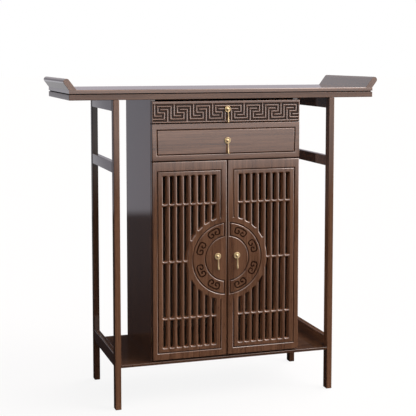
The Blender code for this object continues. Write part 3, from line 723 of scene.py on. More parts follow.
top_low, top_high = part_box("top_board")
bm = block(top_low, top_high)
middle_z = (top_low[2] + top_high[2]) / 2
upper_long = [e for e in bm.edges if all(v.co.z > middle_z for v in e.verts)
              and abs(e.verts[0].co.x - e.verts[1].co.x) > LONG_EDGE]
round_edges(bm, upper_long, TOP_ROUNDING, TOP_EDGE_STEPS)
finish_piece(bm, "fine_top_board", "top_board", walnut_top)
print("top", [round(b - a, 3) for a, b in zip(top_low, top_high)])

# %% [markdown]
# ## The board under the top
#
# The lower board stands back by a few millimetres right under the upper one, which draws a
# dark shadow line all round. A box with its upper face inset and raised gives that step
# without any cutting, and the step gets painted shade, so the line reads darker.

# %% Under board
SHADOW_LINE_HEIGHT = 0.0034
SHADOW_LINE_DEPTH = 0.0040
SHADOW_LINE_START = 0.0004
UNDER_EASING = 0.0012

under_low, under_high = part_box("top_under_board")
bm = block(under_low, (under_high[0], under_high[1], under_high[2] - SHADOW_LINE_HEIGHT))
round_edges(bm, bm.edges[:], UNDER_EASING, EASING_STEPS)
painted_shading = bm.verts.layers.float.new("painted_shading")
crown = max(bm.faces, key=lambda f: f.calc_center_median().z)
for inset, rise in ((SHADOW_LINE_START, 0.0),
                    (SHADOW_LINE_DEPTH - UNDER_EASING - SHADOW_LINE_START, 0.0),
                    (0.0, SHADOW_LINE_HEIGHT)):
    bmesh.ops.inset_individual(bm, faces=[crown], thickness=inset, depth=rise, use_even_offset=True)
    # the step's points get full painted shade
    for v in crown.verts:
        v[painted_shading] = 1.0
finish_piece(bm, "fine_top_under_board", "top_under_board", walnut_under)
print("shadow line", SHADOW_LINE_HEIGHT, "high")

# %% [markdown]
# ## The turned-out ends
#
# A narrow board leans outwards on each end of the top, with a full round along its upper edge.
# A straight board is easier to round than a leaning one, so it is rounded first, then leaned,
# and at last cut level at its foot with a plane.

# %% Turned-out ends
WING_THICKNESS = 0.020
WING_LEAN = math.radians(37.0)
WING_RISE = 0.0365
WING_SINK = 0.0007
WING_BLANK = 0.09
WING_ROUND_STEPS = 9
WING_EASING = 0.0008
WING_EASING_STEPS = 2
WING_PLAY = 0.0001
PLAIN_CORNERS = 6
HAIR = 1e-6


def upright_wing(low_y, high_y):
    """The board before it leans: a full round on top, and eased ends, which have many corners."""
    radius = WING_THICKNESS / 2
    bm = block((-radius, low_y, -WING_BLANK), (radius, high_y, radius))
    along_top = [e for e in bm.edges if all(v.co.z > 0 for v in e.verts)
                 and abs(e.verts[0].co.y - e.verts[1].co.y) > LONG_EDGE]
    round_edges(bm, along_top, radius, WING_ROUND_STEPS)
    bmesh.ops.remove_doubles(bm, verts=bm.verts, dist=HAIR)
    end_loops = [e for e in bm.edges if len(e.link_faces) == 2
                 and any(len(f.verts) > PLAIN_CORNERS for f in e.link_faces)]
    round_edges(bm, end_loops, WING_EASING, WING_EASING_STEPS)
    return bm


foot_z = top_high[2] - WING_SINK
crown_z = top_high[2] + WING_RISE - WING_THICKNESS / 2
middle_foot = top_high[0] - WING_SINK * math.tan(WING_LEAN) - WING_THICKNESS / 2 / math.cos(WING_LEAN)
crown_x = middle_foot + (crown_z - foot_z) * math.tan(WING_LEAN) - WING_PLAY
for side, word in ((-1, "left"), (1, "right")):
    wing_low, wing_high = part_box("wing_" + word)
    bm = upright_wing(wing_low[1], wing_high[1])
    lean = Matrix.Translation((side * crown_x, 0, crown_z)) @ Matrix.Rotation(side * WING_LEAN, 4, "Y")
    bmesh.ops.transform(bm, matrix=lean, verts=bm.verts)
    cut = bmesh.ops.bisect_plane(bm, geom=[*bm.verts, *bm.edges, *bm.faces], plane_co=(0, 0, foot_z),
                                 plane_no=(0, 0, -1), clear_outer=True)
    rim = [e for e in cut["geom_cut"] if isinstance(e, bmesh.types.BMEdge)]
    bmesh.ops.triangle_fill(bm, edges=rim, use_beauty=True)
    bmesh.ops.recalc_face_normals(bm, faces=bm.faces)
    finish_piece(bm, "fine_wing_" + word, "wing_" + word, walnut_wing)
    print("wing", word, "crown at", round(side * crown_x, 4), round(crown_z, 4))

# %% [markdown]
# ## The low shelf
#
# One board ties the four legs together and is notched round each of them. A small grid in
# plan, without its four corner cells, is the board's outline; extruded, it is the board.

# %% Shelf
SHELF_EASING = 0.0010
NOTCH_PLAY = 0.0003
SHELF_CELLS = 3
SHARP_CORNER = 1.0

shelf_low, shelf_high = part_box("shelf_board")
leg_low, leg_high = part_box("leg_front_right")
rear_leg_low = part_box("leg_back_right")[0]
shelf_xs = [shelf_low[0], -leg_low[0] + NOTCH_PLAY, leg_low[0] - NOTCH_PLAY, shelf_high[0]]
shelf_ys = [shelf_low[1], leg_high[1] + NOTCH_PLAY, rear_leg_low[1] - NOTCH_PLAY, shelf_high[1]]
half_grid = SHELF_CELLS / 2
bm = bmesh.new()
bmesh.ops.create_grid(bm, x_segments=SHELF_CELLS, y_segments=SHELF_CELLS, size=half_grid)
corners = [f for f in bm.faces if all(abs(c) > 0.5 for c in f.calc_center_median().xy)]
for v in bm.verts:
    v.co = (shelf_xs[round(v.co.x + half_grid)], shelf_ys[round(v.co.y + half_grid)], shelf_high[2])
bmesh.ops.delete(bm, geom=corners, context="FACES")
bmesh.ops.dissolve_limit(bm, angle_limit=0.01, verts=bm.verts, edges=bm.edges)
down = bmesh.ops.extrude_face_region(bm, geom=bm.faces[:])
bmesh.ops.translate(bm, verts=[g for g in down["geom"] if isinstance(g, bmesh.types.BMVert)],
                    vec=(0, 0, shelf_low[2] - shelf_high[2]))
bmesh.ops.recalc_face_normals(bm, faces=bm.faces)
outer = [e for e in bm.edges if e.calc_face_angle(0) > SHARP_CORNER]
round_edges(bm, outer, SHELF_EASING, EASING_STEPS)
bmesh.ops.recalc_face_normals(bm, faces=bm.faces)
finish_piece(bm, "fine_shelf_board", "shelf_board", walnut_shelf_painted_shade)
print("shelf", [round(b - a, 3) for a, b in zip(shelf_low, shelf_high)])

# %% [markdown]
# ## How the fronts are drawn
#
# Drawer fronts and doors are flat boards with lines, slots and ornament cut into their faces.
# Such a face is easiest to draw lying down, with up on the page as Y and depth below the page
# as negative Z. Every cut is an inset that sinks in a few small steps, which gives it a rounded
# lip, and the points that have sunk get painted shade on the way, darker the deeper they lie.

# %% Carving helpers
# depths where the painted shade in the cuts starts and where it is full
PAINTED_SHADE_DEPTHS = (0.0008, 0.0020)


def page():
    """An empty drawing whose points can hold painted shading."""
    bm = bmesh.new()
    bm.verts.layers.float.new("painted_shading")
    return bm


def paint_shade_by_depth(bm, verts, most):
    """Paint shade on sunk points: none near the face, the most from two millimetres down."""
    layer = bm.verts.layers.float["painted_shading"]
    start, full = PAINTED_SHADE_DEPTHS
    for v in verts:
        v[layer] = most * min(max((-v.co.z - start) / (full - start), 0.0), 1.0)


def carve(bm, faces, steps, together, painted_shading=1.0):
    """Sink faces by steps of (inset, drop) and paint shade on the sunk points; together treats them as one
    region.
    """
    for inset, drop in steps:
        if together:
            bmesh.ops.inset_region(bm, faces=faces, thickness=inset, depth=-drop, use_even_offset=True,
                                   use_boundary=True)
        else:
            bmesh.ops.inset_individual(bm, faces=faces, thickness=inset, depth=-drop,
                                       use_even_offset=True)
        paint_shade_by_depth(bm, {v for face in faces for v in face.verts}, painted_shading)


print("glaze starts and is full at depths", PAINTED_SHADE_DEPTHS)

# %% [markdown]
# ## The sections of the cuts
#
# The slots and the lines have a section each: a quarter round for the lips of the slots, and
# the mark of a small round-nosed cutter for the lines, as shares of its width and depth.

# %% Cut sections
LIP_FLAT = 0.0002
LINE_SECTION = [(0.05, 0.0), (0.12, 0.06), (0.19, 0.22), (0.24, 0.34), (0.22, 0.28), (0.12, 0.10)]


def round_over(radius, count):
    """Steps of a quarter round that starts level with the face, after a narrow flat."""
    steps = [(LIP_FLAT, 0.0)]
    for k in range(count):
        a = math.pi / 2 * k / count
        b = math.pi / 2 * (k + 1) / count
        steps.append((radius * (math.sin(b) - math.sin(a)), radius * (math.cos(a) - math.cos(b))))
    return steps


def line_cut(width, depth, floor=0.0):
    """Steps of a narrow routed line with soft lips; floor is its bottom's share that stays flat."""
    half = width / 2 * (1 - floor)
    return [(half * a, depth * b) for a, b in LINE_SECTION]


print("steps of a line:", len(LINE_SECTION))

# %% [markdown]
# ## Rim and back
#
# Once the cuts are in, the page's open rim is rolled over in a quarter round and brought down to
# the back, a ring of faces at a time. The back is closed, and the board is stood up in its
# place. The deeper half of the rim's round gets painted shade, which darkens the narrow gaps
# between the fronts.

# %% Rim and back helpers
RIM_STEPS = 4
# painted shade on the deeper half of the rim's round, for the dark gaps between the fronts
RIM_PAINTED_SHADE = 0.7
RIM_BACK_EASING = 0.4
NEARLY = 1e-5


def rim_levels(radius, thickness):
    """How far out and how low each ring of the rim lies."""
    levels = []
    for k in range(1, RIM_STEPS + 1):
        a = math.pi / 2 * k / RIM_STEPS
        levels.append((radius * math.sin(a), -radius * (1 - math.cos(a))))
    easing = radius * RIM_BACK_EASING
    return levels + [(radius, -thickness + easing), (radius - easing, -thickness)]


def roll_rim(bm, half_x, half_y, radius, thickness):
    """Round the plate's outer edge over and bring it down to the back."""
    inner_x = half_x - radius
    inner_y = half_y - radius
    rim = [e for e in bm.edges if len(e.link_faces) == 1 and all(
        abs(abs(v.co.x) - inner_x) < NEARLY or abs(abs(v.co.y) - inner_y) < NEARLY for v in e.verts)]
    layer = bm.verts.layers.float["painted_shading"]
    for level, (out, z) in enumerate(rim_levels(radius, thickness)):
        made = bmesh.ops.extrude_edge_only(bm, edges=rim)["geom"]
        rim = [g for g in made if isinstance(g, bmesh.types.BMEdge)]
        for v in {v for e in rim for v in e.verts}:
            on_x = abs(v.co.x) > inner_x - NEARLY
            on_y = abs(v.co.y) > inner_y - NEARLY
            if on_x:
                v.co.x = math.copysign(inner_x + out, v.co.x)
            if on_y:
                v.co.y = math.copysign(inner_y + out, v.co.y)
            v.co.z = z
            v[layer] = RIM_PAINTED_SHADE * (level + 1) / RIM_STEPS if RIM_STEPS / 2 <= level < RIM_STEPS else 0.0
        rim = [e for e in rim if len(e.link_faces) == 1]


def close_back(bm, pierced=False):
    open_edges = [e for e in bm.edges if len(e.link_faces) == 1]
    if pierced:
        bmesh.ops.triangle_fill(bm, edges=open_edges, use_beauty=True)
    else:
        bmesh.ops.contextual_create(bm, geom=open_edges)
    bmesh.ops.recalc_face_normals(bm, faces=bm.faces)


def stand_up(bm, middle_x, face_y, middle_z):
    """Turn the page's up to Z and its front to -Y."""
    upright = Matrix.Translation((middle_x, face_y, middle_z)) @ Matrix.Rotation(math.pi / 2, 4, "X")
    bmesh.ops.transform(bm, matrix=upright, verts=bm.verts)


def front_place(node):
    """Half width, half height, middle X, face Y, middle Z and thickness of a front."""
    low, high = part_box(node)
    return ((high[0] - low[0]) / 2, (high[2] - low[2]) / 2, (low[0] + high[0]) / 2, low[1],
            (low[2] + high[2]) / 2, high[1] - low[1])


print("rim and back helpers ready")

# %% [markdown]
# ## Upper drawer: the raised key fret
#
# The fret is one unbroken line that folds in and out of square spirals. It was drawn on
# squared paper: every other row and column is line, the rest is ground. So a grid whose cells
# are half a pitch wide holds the whole drawing, and only the ground cells are sunk. The line's
# edges are rounded well over, so that each turn catches the light like a cord.

# %% Fret drawing
FRET_UNITS = 8
FRET_UNIT_COLUMNS = 6
FRET_ROWS = 7


def walk(points):
    """Every half step of a path along the fret's columns and rows."""
    for (c0, r0), (c1, r1) in zip(points, points[1:]):
        steps = 2 * max(abs(c1 - c0), abs(r1 - r0))
        for k in range(steps + 1):
            yield (2 * c0 + (c1 - c0) * 2 * k // steps, 2 * r0 + (r1 - r0) * 2 * k // steps)


def fret_lines():
    """Half-step places of the raised line; the right half is turned upside down."""
    top_row = FRET_ROWS - 1
    meander = [(1, 5), (1, 1), (5, 1), (5, 3), (3, 3), (3, 5), (7, 5)]
    upper_hook = [(2, 6), (2, 2), (4, 2)]
    lower_hook = [(6, 0), (6, 4), (4, 4)]
    raised = set()
    for unit in range(FRET_UNITS):
        start = FRET_UNIT_COLUMNS * unit - 2
        turned = unit >= FRET_UNITS // 2
        for path in (meander, upper_hook, lower_hook):
            points = [(start + c, top_row - r if turned else r) for c, r in path]
            if unit == FRET_UNITS // 2 and path is meander:
                points = points[1:]
            raised.update(walk(points))
    return raised


fret = fret_lines()
print("raised half steps:", len(fret))

# %% [markdown]
# The grid is the squared paper at its real size. The first and last lines of it are where the
# rim of the front begins to roll over.

# %% Fret grid
FRONT_ROUNDING = 0.0018
FRET_MARGIN = 0.0080
FRET_ROW_PITCH = 0.0104
FRET_LOWEST_ROW = 0.0127
FRET_RIM = 0.0026

half_x, half_z, middle_x, face_y, middle_z, thickness = front_place("drawer_upper_front")
last_column = FRET_UNIT_COLUMNS * FRET_UNITS - 2
half_column = (2 * half_x - FRET_MARGIN) / (last_column + 0.25) / 2
half_row = FRET_ROW_PITCH / 2
first_x = -half_x + FRET_MARGIN - half_column / 2
first_z = -half_z + FRET_LOWEST_ROW - half_row / 2
fret_xs = [FRONT_ROUNDING - half_x, FRET_RIM - half_x]
fret_xs += [first_x + half_column * k for k in range(2 * last_column + 1)] + [half_x - FRONT_ROUNDING]
fret_zs = [FRONT_ROUNDING - half_z]
fret_zs += [first_z + half_row * k for k in range(-1, 2 * FRET_ROWS - 3)] + [half_z - FRONT_ROUNDING]
columns = len(fret_xs) - 1
rows = len(fret_zs) - 1
print("fret grid", columns, "by", rows)

# %% [markdown]
# All cells that are not line sink as one ground, and the edges between line and ground are
# rounded afterwards.

# %% Fret front
FRET_DEPTH = 0.0030
FRET_WALL_SLOPE = 0.0003
# painted shade on the sunk ground between the raised lines
FRET_PAINTED_SHADE = 0.85
FRET_SOFTNESS = 0.0022
FRET_SOFT_STEPS = 4

bm = page()
bmesh.ops.create_grid(bm, x_segments=columns, y_segments=rows, size=1.0)
ground = []
for face in bm.faces:
    centre = face.calc_center_median()
    i = int((centre.x + 1) / 2 * columns)
    j = int((centre.y + 1) / 2 * rows)
    if 0 < i < columns - 1 and 0 < j < rows - 1 and (i - 2, j) not in fret:
        ground.append(face)
for v in bm.verts:
    v.co.x = fret_xs[round((v.co.x + 1) / 2 * columns)]
    v.co.y = fret_zs[round((v.co.y + 1) / 2 * rows)]
ground_set = set(ground)
lips = [e for e in bm.edges if len(e.link_faces) == 2 and sum(f in ground_set for f in e.link_faces) == 1]
print("ground cells", len(ground), "lips", len(lips))
carve(bm, ground, [(FRET_WALL_SLOPE, FRET_DEPTH)], True, FRET_PAINTED_SHADE)
round_edges(bm, [e for e in lips if e.is_valid], FRET_SOFTNESS, FRET_SOFT_STEPS)
roll_rim(bm, half_x, half_z, FRONT_ROUNDING, thickness)
close_back(bm)
stand_up(bm, middle_x, face_y, middle_z)
finish_piece(bm, "fine_drawer_upper_front", "drawer_upper_front", walnut_fret)

# %% [markdown]
# ## Lower drawer: one routed line
#
# The lower front is plain, with a single line routed round it a finger's width from the edge.
# The page is one face. A first inset makes an inner face, its corners are put where the line's
# outer edge runs, and a second inset gives the strip that sinks.

# %% Plain front
GROOVE_WIDTH = 0.0062
GROOVE_DEPTH = 0.0023
DRAWER_GROOVE_SIDE = 0.0175
DRAWER_GROOVE_TOP = 0.0200
FIRST_INSET = 0.01

half_x, half_z, middle_x, face_y, middle_z, thickness = front_place("drawer_lower_front")
bm = page()
bmesh.ops.create_grid(bm, x_segments=1, y_segments=1, size=1.0)
for v in bm.verts:
    v.co.x *= half_x - FRONT_ROUNDING
    v.co.y *= half_z - FRONT_ROUNDING
field = bm.faces[:]
bmesh.ops.inset_individual(bm, faces=field, thickness=FIRST_INSET, use_even_offset=True)
for v in field[0].verts:
    v.co.x = math.copysign(half_x - DRAWER_GROOVE_SIDE + GROOVE_WIDTH / 2, v.co.x)
    v.co.y = math.copysign(half_z - DRAWER_GROOVE_TOP + GROOVE_WIDTH / 2, v.co.y)
line = bmesh.ops.inset_individual(bm, faces=field, thickness=GROOVE_WIDTH, use_even_offset=True)["faces"]
carve(bm, line, line_cut(GROOVE_WIDTH, GROOVE_DEPTH), True)
roll_rim(bm, half_x, half_z, FRONT_ROUNDING, thickness)
close_back(bm)
stand_up(bm, middle_x, face_y, middle_z)
finish_piece(bm, "fine_drawer_lower_front", "drawer_lower_front", walnut_drawer)
print("routed line", GROOVE_WIDTH, "wide,", len(line), "sides")

# %% [markdown]
# ## Painted shade in the gaps
#
# Between one front and the next there is a gap of three millimetres. A thin near-black lip on the
# case stands in it as painted shade, set back from the faces, so that the gap reads dark and no
# light shows through past the ends.

# %% Gap lips
LIP_SETBACK = 0.0045
LIP_PLAY = 0.0005
LIP_END_PLAY = 0.0006
LIP_EASING = 0.0003
LIP_EASING_STEPS = 2

fronts = ("drawer_upper_front", "drawer_lower_front", "door_left")
for number, (above, below) in enumerate(zip(fronts, fronts[1:])):
    gap_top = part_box(above)[0][2]
    gap_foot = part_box(below)[1][2]
    lip_half_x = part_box(above)[1][0] - LIP_END_PLAY
    bm = block((-lip_half_x, face_y + LIP_SETBACK, gap_foot + LIP_PLAY),
               (lip_half_x, case_front, gap_top - LIP_PLAY))
    round_edges(bm, bm.edges[:], LIP_EASING, LIP_EASING_STEPS)
    finish_piece(bm, "gap_painted_shade_lip_" + str(number), "cabinet_floor", walnut_lip_painted_shade, replace=False)
    print("gap", round(gap_top - gap_foot, 4))

# %% [markdown]
# ## The doors: slots
#
# Each door is pierced by eight columns of upright slots in four tiers, with narrow bars
# between, and the slots stop at a round medallion that the two doors share. The right door is
# drawn, with the medallion's middle at the page's origin. A slot is a face with four corners,
# or with a slanting chord where the medallion cuts it. The corners are rounded, and the chords
# get more points, which are then pushed out onto the circle.

# %% Slot outlines
SLOT_CORNER = 0.0026
SLOT_CORNER_STEPS = 4
MEDALLION_RADIUS = 0.143


def slot_outline(bm, x0, x1, z0, z1, z):
    """One slot as a face with round corners, cut off by the medallion where they meet."""
    upper = z1 + z0 > 0
    if not upper:
        z0, z1 = -z1, -z0
    edge = MEDALLION_RADIUS
    points = [(x0, z1), (x1, z1)]
    start = math.acos(min(x0 / edge, 1.0))
    end = math.asin(min(z0 / edge, 1.0))
    if x1 < edge:
        end = max(end, math.acos(x1 / edge))
    if x0 < edge and start > end:
        if x1 > edge or edge * math.sin(end) < z0 + HAIR:
            points.append((x1, z0))
        points += [(edge * math.cos(end), edge * math.sin(end)), (x0, edge * math.sin(start))]
    else:
        points += [(x1, z0), (x0, z0)]
    if not upper:
        points = [(x, -y) for x, y in points]
    face = bm.faces.new([bm.verts.new((x, y, z)) for x, y in points])
    bmesh.ops.bevel(bm, geom=face.verts[:], offset=SLOT_CORNER, offset_type="OFFSET",
                    segments=SLOT_CORNER_STEPS, profile=0.5, affect="VERTICES", material=-1,
                    clamp_overlap=True)


print("medallion across", 2 * MEDALLION_RADIUS)

# %% [markdown]
# The slots of a column share their width, and the narrow bars between the tiers run through
# all columns at the same heights.

# %% Slots
SLOT_COLUMNS = 8
SLOT_WIDTH = 0.0125
SLOT_FIRST = 0.0410
SLOT_LAST = 0.2240
SLOT_BOTTOM = -0.2920
SLOT_TOP = 0.2845
CROSS_BAR = 0.0085
CROSS_BAR_SHARES = (1 / 6, 1 / 2, 5 / 6)
SHORTEST_CHORD = 0.004
CHORD_CUTS = 4


def face_up(faces):
    """Turn faces of the page towards the reader."""
    for face in faces:
        face.normal_update()
        if face.normal.z < 0:
            face.normal_flip()
    return faces


def draw_slots(bm, z):
    """All slots of a door as faces at the level z."""
    pitch = (SLOT_LAST - SLOT_FIRST - SLOT_WIDTH) / (SLOT_COLUMNS - 1)
    bars = [SLOT_BOTTOM + (SLOT_TOP - SLOT_BOTTOM) * share for share in CROSS_BAR_SHARES]
    lows = [SLOT_BOTTOM] + [bar + CROSS_BAR / 2 for bar in bars]
    highs = [bar - CROSS_BAR / 2 for bar in bars] + [SLOT_TOP]
    for column in range(SLOT_COLUMNS):
        x0 = SLOT_FIRST + pitch * column
        for z0, z1 in zip(lows, highs):
            slot_outline(bm, x0, x0 + SLOT_WIDTH, z0, z1, z)
    chords = [e for e in bm.edges if e.calc_length() > SHORTEST_CHORD
              and ((e.verts[0].co + e.verts[1].co) / 2).xy.length < MEDALLION_RADIUS - NEARLY]
    bmesh.ops.subdivide_edges(bm, edges=chords, cuts=CHORD_CUTS)
    for v in bm.verts:
        if v.co.xy.length < MEDALLION_RADIUS:
            v.co.xy *= MEDALLION_RADIUS / v.co.xy.length
    return face_up(bm.faces[:])


print("slots a door:", SLOT_COLUMNS * (len(CROSS_BAR_SHARES) + 1))

# %% [markdown]
# ## The doors: routed lines
#
# One routed line frames the slots, and another closes a half ring round the medallion. A line is
# a strip of faces that sinks. The ring line is the strip between two outlines of a half ring,
# one a little wider than the other.

# %% Ring line
BAND_RADII = (0.077, 0.1215)
BAND_END = 0.0105
BAND_STEPS = 96


def half_ring_loop(bm, inner, outer, end_x):
    """A closed outline of two arcs and the two straight ends between them."""
    arcs = []
    for radius in (inner, outer):
        reach = math.acos(end_x / radius)
        first = bm.verts.new((end_x, -radius * math.sin(reach), 0))
        before = set(bm.edges)
        swept = bmesh.ops.spin(bm, geom=[first], axis=(0, 0, 1), cent=(0, 0, 0), dvec=(0, 0, 0),
                               angle=2 * reach, steps=BAND_STEPS, use_merge=False)
        last = [g for g in swept["geom_last"] if isinstance(g, bmesh.types.BMVert)][0]
        arcs.append((first, last, [e for e in bm.edges if e not in before]))
    (inner_first, inner_last, inner_edges), (outer_first, outer_last, outer_edges) = arcs
    ends = [bm.edges.new((inner_first, outer_first)), bm.edges.new((inner_last, outer_last))]
    return inner_edges + outer_edges + ends


def draw_band(bm):
    """A closed line round half a ring, drawn as the strip between two such outlines."""
    half = GROOVE_WIDTH / 2
    wide = half_ring_loop(bm, BAND_RADII[0] - half, BAND_RADII[1] + half, BAND_END - half)
    slim = half_ring_loop(bm, BAND_RADII[0] + half, BAND_RADII[1] - half, BAND_END + half)
    return face_up(bmesh.ops.bridge_loops(bm, edges=wide + slim)["faces"])


print("band radii", BAND_RADII)

# %% [markdown]
# The frame line is the border strip of a rectangle. Its inner side is cut at two heights, and
# the piece between them is taken out, because the medallion stands there.

# %% Frame line
DOOR_LINE = (0.0230, -0.3085, 0.2420, 0.3010)
SLOT_ROUNDING = 0.0039


def draw_frame_line(bm):
    """A rectangular line round the slots, open where it meets the medallion."""
    half = GROOVE_WIDTH / 2
    x0, z0, x1, z1 = DOOR_LINE
    corners = [(x0 - half, z0 - half), (x1 + half, z0 - half), (x1 + half, z1 + half),
               (x0 - half, z1 + half)]
    face = bm.faces.new([bm.verts.new((x, z, 0)) for x, z in corners])
    face.normal_update()
    strip = bmesh.ops.inset_individual(bm, faces=[face], thickness=GROOVE_WIDTH,
                                       use_even_offset=True)["faces"]
    bmesh.ops.delete(bm, geom=[face], context="FACES_ONLY")
    inner_side = min(strip, key=lambda f: f.calc_center_median().x)
    stop = math.sqrt((MEDALLION_RADIUS - SLOT_ROUNDING) ** 2 - x0 ** 2)
    for z in (-stop, stop):
        geom = [inner_side, *inner_side.edges, *inner_side.verts]
        cut = bmesh.ops.bisect_plane(bm, geom=geom, plane_co=(0, z, 0), plane_no=(0, 1, 0))
        pieces = [g for g in cut["geom"] if isinstance(g, bmesh.types.BMFace)]
        inner_side = min(pieces, key=lambda f: abs(f.calc_center_median().y))
        strip += [f for f in pieces if f not in strip]
    strip = [f for f in strip if f is not inner_side]
    bmesh.ops.delete(bm, geom=[inner_side], context="FACES_ONLY")
    return strip


print("frame line", DOOR_LINE)

# %% [markdown]
# ## The doors: squared spirals
#
# Between the ring lines stand four pairs of squared spirals a door. Each pair is one carved
# line that winds inwards at both ends. Its path is a few corner points on a small grid, turned
# to its place on the ring. The corners are cut off, as a carver softens the turns, and the path
# is then offset to both sides with mitred corners.

# %% Spirals
SPIRAL_RADIUS = 0.100
SPIRAL_CELL = 0.0053
SPIRAL_LINE = 0.0050
SPIRAL_NEAR = 0.9
SPIRAL_FAR = 3.9
SPIRAL_TIP = 2.2
SPIRAL_PLACES = (-61.5, -22.3, 22.3, 61.5)
CORNER_CUTS = (0.25, 0.75)


def softened(points):
    """The path with its corners cut off."""
    kept = [points[0]]
    for a, b in zip(points, points[1:]):
        kept += [a.lerp(b, share) for share in CORNER_CUTS]
    return [*kept, points[-1]]


def spiral_path(angle):
    """Two square spirals joined along their outer side."""
    near, far = SPIRAL_NEAR, SPIRAL_FAR
    hook = [(SPIRAL_TIP, 0), (near, 0), (near, -2), (far, -2), (far, 2), (0, 2)]
    centre = (near + far) / 2
    path = []
    for mirror in (-1, 1):
        turn_by = angle + mirror * math.atan(centre * SPIRAL_CELL / SPIRAL_RADIUS)
        outward = Vector((math.cos(turn_by), math.sin(turn_by)))
        along = Vector((-outward.y, outward.x)) * mirror
        for u, v in (hook if mirror < 0 else hook[::-1]):
            path.append(outward * (SPIRAL_RADIUS + v * SPIRAL_CELL) + along * ((u - centre) * SPIRAL_CELL))
    link = len(path) // 2
    path[link - 1] = (path[link - 1] + path[link]) / 2
    del path[link]
    return softened(path)


def stroke(path, width):
    """Outline of a line of even width along a path."""
    ways = [(b - a).normalized() for a, b in zip(path, path[1:])]
    left = []
    right = []
    for k, point in enumerate(path):
        before = ways[max(k - 1, 0)]
        after = ways[min(k, len(ways) - 1)]
        across = Vector((-before.y - after.y, before.x + after.x)).normalized()
        mitre = across * (width / 2) / across.dot(Vector((-before.y, before.x)))
        left.append(point + mitre)
        right.append(point - mitre)
    return left + right[::-1]


def draw_spirals(bm):
    faces = []
    for place in SPIRAL_PLACES:
        outline = stroke(spiral_path(math.radians(place)), SPIRAL_LINE)
        faces.append(bm.faces.new([bm.verts.new((p.x, p.y, 0)) for p in outline]))
    return face_up(faces)


print("spirals a door:", 2 * len(SPIRAL_PLACES))

# %% [markdown]
# ## The doors: carving and closing
#
# The slots are drawn on the level of the back and climb to the face: straight walls first, then
# a round that spreads, so each slot is wider in front. Their walls are painted paler, as painted
# light on them.
# Lines and spirals sink from the face. With all cuts in, the door's edge is drawn round them
# and one fill joins it to the lips of all cuts.

# %% Carved page
SLOT_ROUND_STEPS = 5
SLOT_PAINTED_SHADE = 0.0
# marks the slot walls for painted light
SLOT_WALL_PAINTED_LIGHT = -1.0
SPIRAL_FLOOR = 0.55
SPIRAL_DEPTH = 0.0032
# painted shade that darkens the spiral lines
SPIRAL_PAINTED_SHADE = 1.7
ON_FACE = 1e-7


def carved_page(thickness):
    """The right door's slots, lines and spirals, carved into an empty page."""
    bm = page()
    slots = draw_slots(bm, -thickness)
    climb = [(0.0, thickness - SLOT_ROUNDING)] + round_over(SLOT_ROUNDING, SLOT_ROUND_STEPS)[::-1]
    carve(bm, slots, [(-inset, -drop) for inset, drop in climb], False, SLOT_PAINTED_SHADE)
    layer = bm.verts.layers.float["painted_shading"]
    # slot walls below the round get painted light, a paler colour
    for v in bm.verts:
        if v.co.z < HAIR - SLOT_ROUNDING:
            v[layer] = SLOT_WALL_PAINTED_LIGHT
    bmesh.ops.delete(bm, geom=slots, context="FACES_ONLY")
    for draw_line in (draw_band, draw_frame_line):
        carve(bm, draw_line(bm), line_cut(GROOVE_WIDTH, GROOVE_DEPTH), True)
    carve(bm, draw_spirals(bm), line_cut(SPIRAL_LINE, SPIRAL_DEPTH, SPIRAL_FLOOR), False, SPIRAL_PAINTED_SHADE)
    bmesh.ops.delete(bm, geom=[e for e in bm.edges if not e.link_faces], context="EDGES")
    return bm


def join_lips(bm, plate_x, plate_y):
    """One fill between the plate's edge and the lips of all cuts."""
    border = [bm.verts.new((x * plate_x, y * plate_y, 0)) for x, y in ((-1, -1), (1, -1), (1, 1), (-1, 1))]
    edge = [bm.edges.new((a, b)) for a, b in zip(border, border[1:] + border[:1])]
    lips = [e for e in bm.edges if len(e.link_faces) == 1 and all(abs(v.co.z) < ON_FACE for v in e.verts)]
    bmesh.ops.triangle_fill(bm, edges=lips + edge, use_beauty=True, normal=(0, 0, 1))


print("carving helpers of the doors ready")

# %% [markdown]
# Both doors come from the same drawing. The left one is turned over, and the grain of each is
# its own.

# %% Doors
DOOR_ROUNDING = 0.0034


def build_door(side, word, material):
    """One door; the left one is the mirror image of the right one."""
    node = "door_" + word
    half_x, half_z, middle_x, face_y, middle_z, thickness = front_place(node)
    bm = carved_page(thickness)
    bmesh.ops.translate(bm, verts=bm.verts, vec=(-abs(middle_x), 0, 0))
    join_lips(bm, half_x - DOOR_ROUNDING, half_z - DOOR_ROUNDING)
    roll_rim(bm, half_x, half_z, DOOR_ROUNDING, thickness)
    close_back(bm, pierced=True)
    if side < 0:
        bmesh.ops.scale(bm, vec=(-1, 1, 1), verts=bm.verts)
        bmesh.ops.recalc_face_normals(bm, faces=bm.faces)
    stand_up(bm, middle_x, face_y, middle_z)
    open_edges = sum(1 for e in bm.edges if len(e.link_faces) != 2)
    print("door", word, "faces", len(bm.faces), "open edges", open_edges)
    finish_piece(bm, "fine_" + node, node, material)


build_door(-1, "left", walnut_door_left)
build_door(1, "right", walnut_door_right)

# %% [markdown]
# ## The brass pulls
#
# Each pull is a turned rosette with two ears, a pin through them, and a drop that hangs from the
# pin by a ring. A turned piece is half a profile spun once round, as on a lathe.

# %% Turning
PIN_OUT = 0.0080
PIN_RADIUS = 0.0009
EYE_RADIUS = 0.0026
EYE_WIDTH = 0.0032
fronts_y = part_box("door_left")[0][1]


def turned(bm, profile, axis, centre, steps):
    """Spin a chain of points once round an axis through centre."""
    chain = [bm.verts.new(Vector(centre) + Vector(p)) for p in profile]
    edges = [bm.edges.new((a, b)) for a, b in zip(chain, chain[1:])]
    bmesh.ops.spin(bm, geom=chain + edges, axis=axis, cent=centre, dvec=(0, 0, 0),
                   angle=math.tau, steps=steps, use_merge=True)


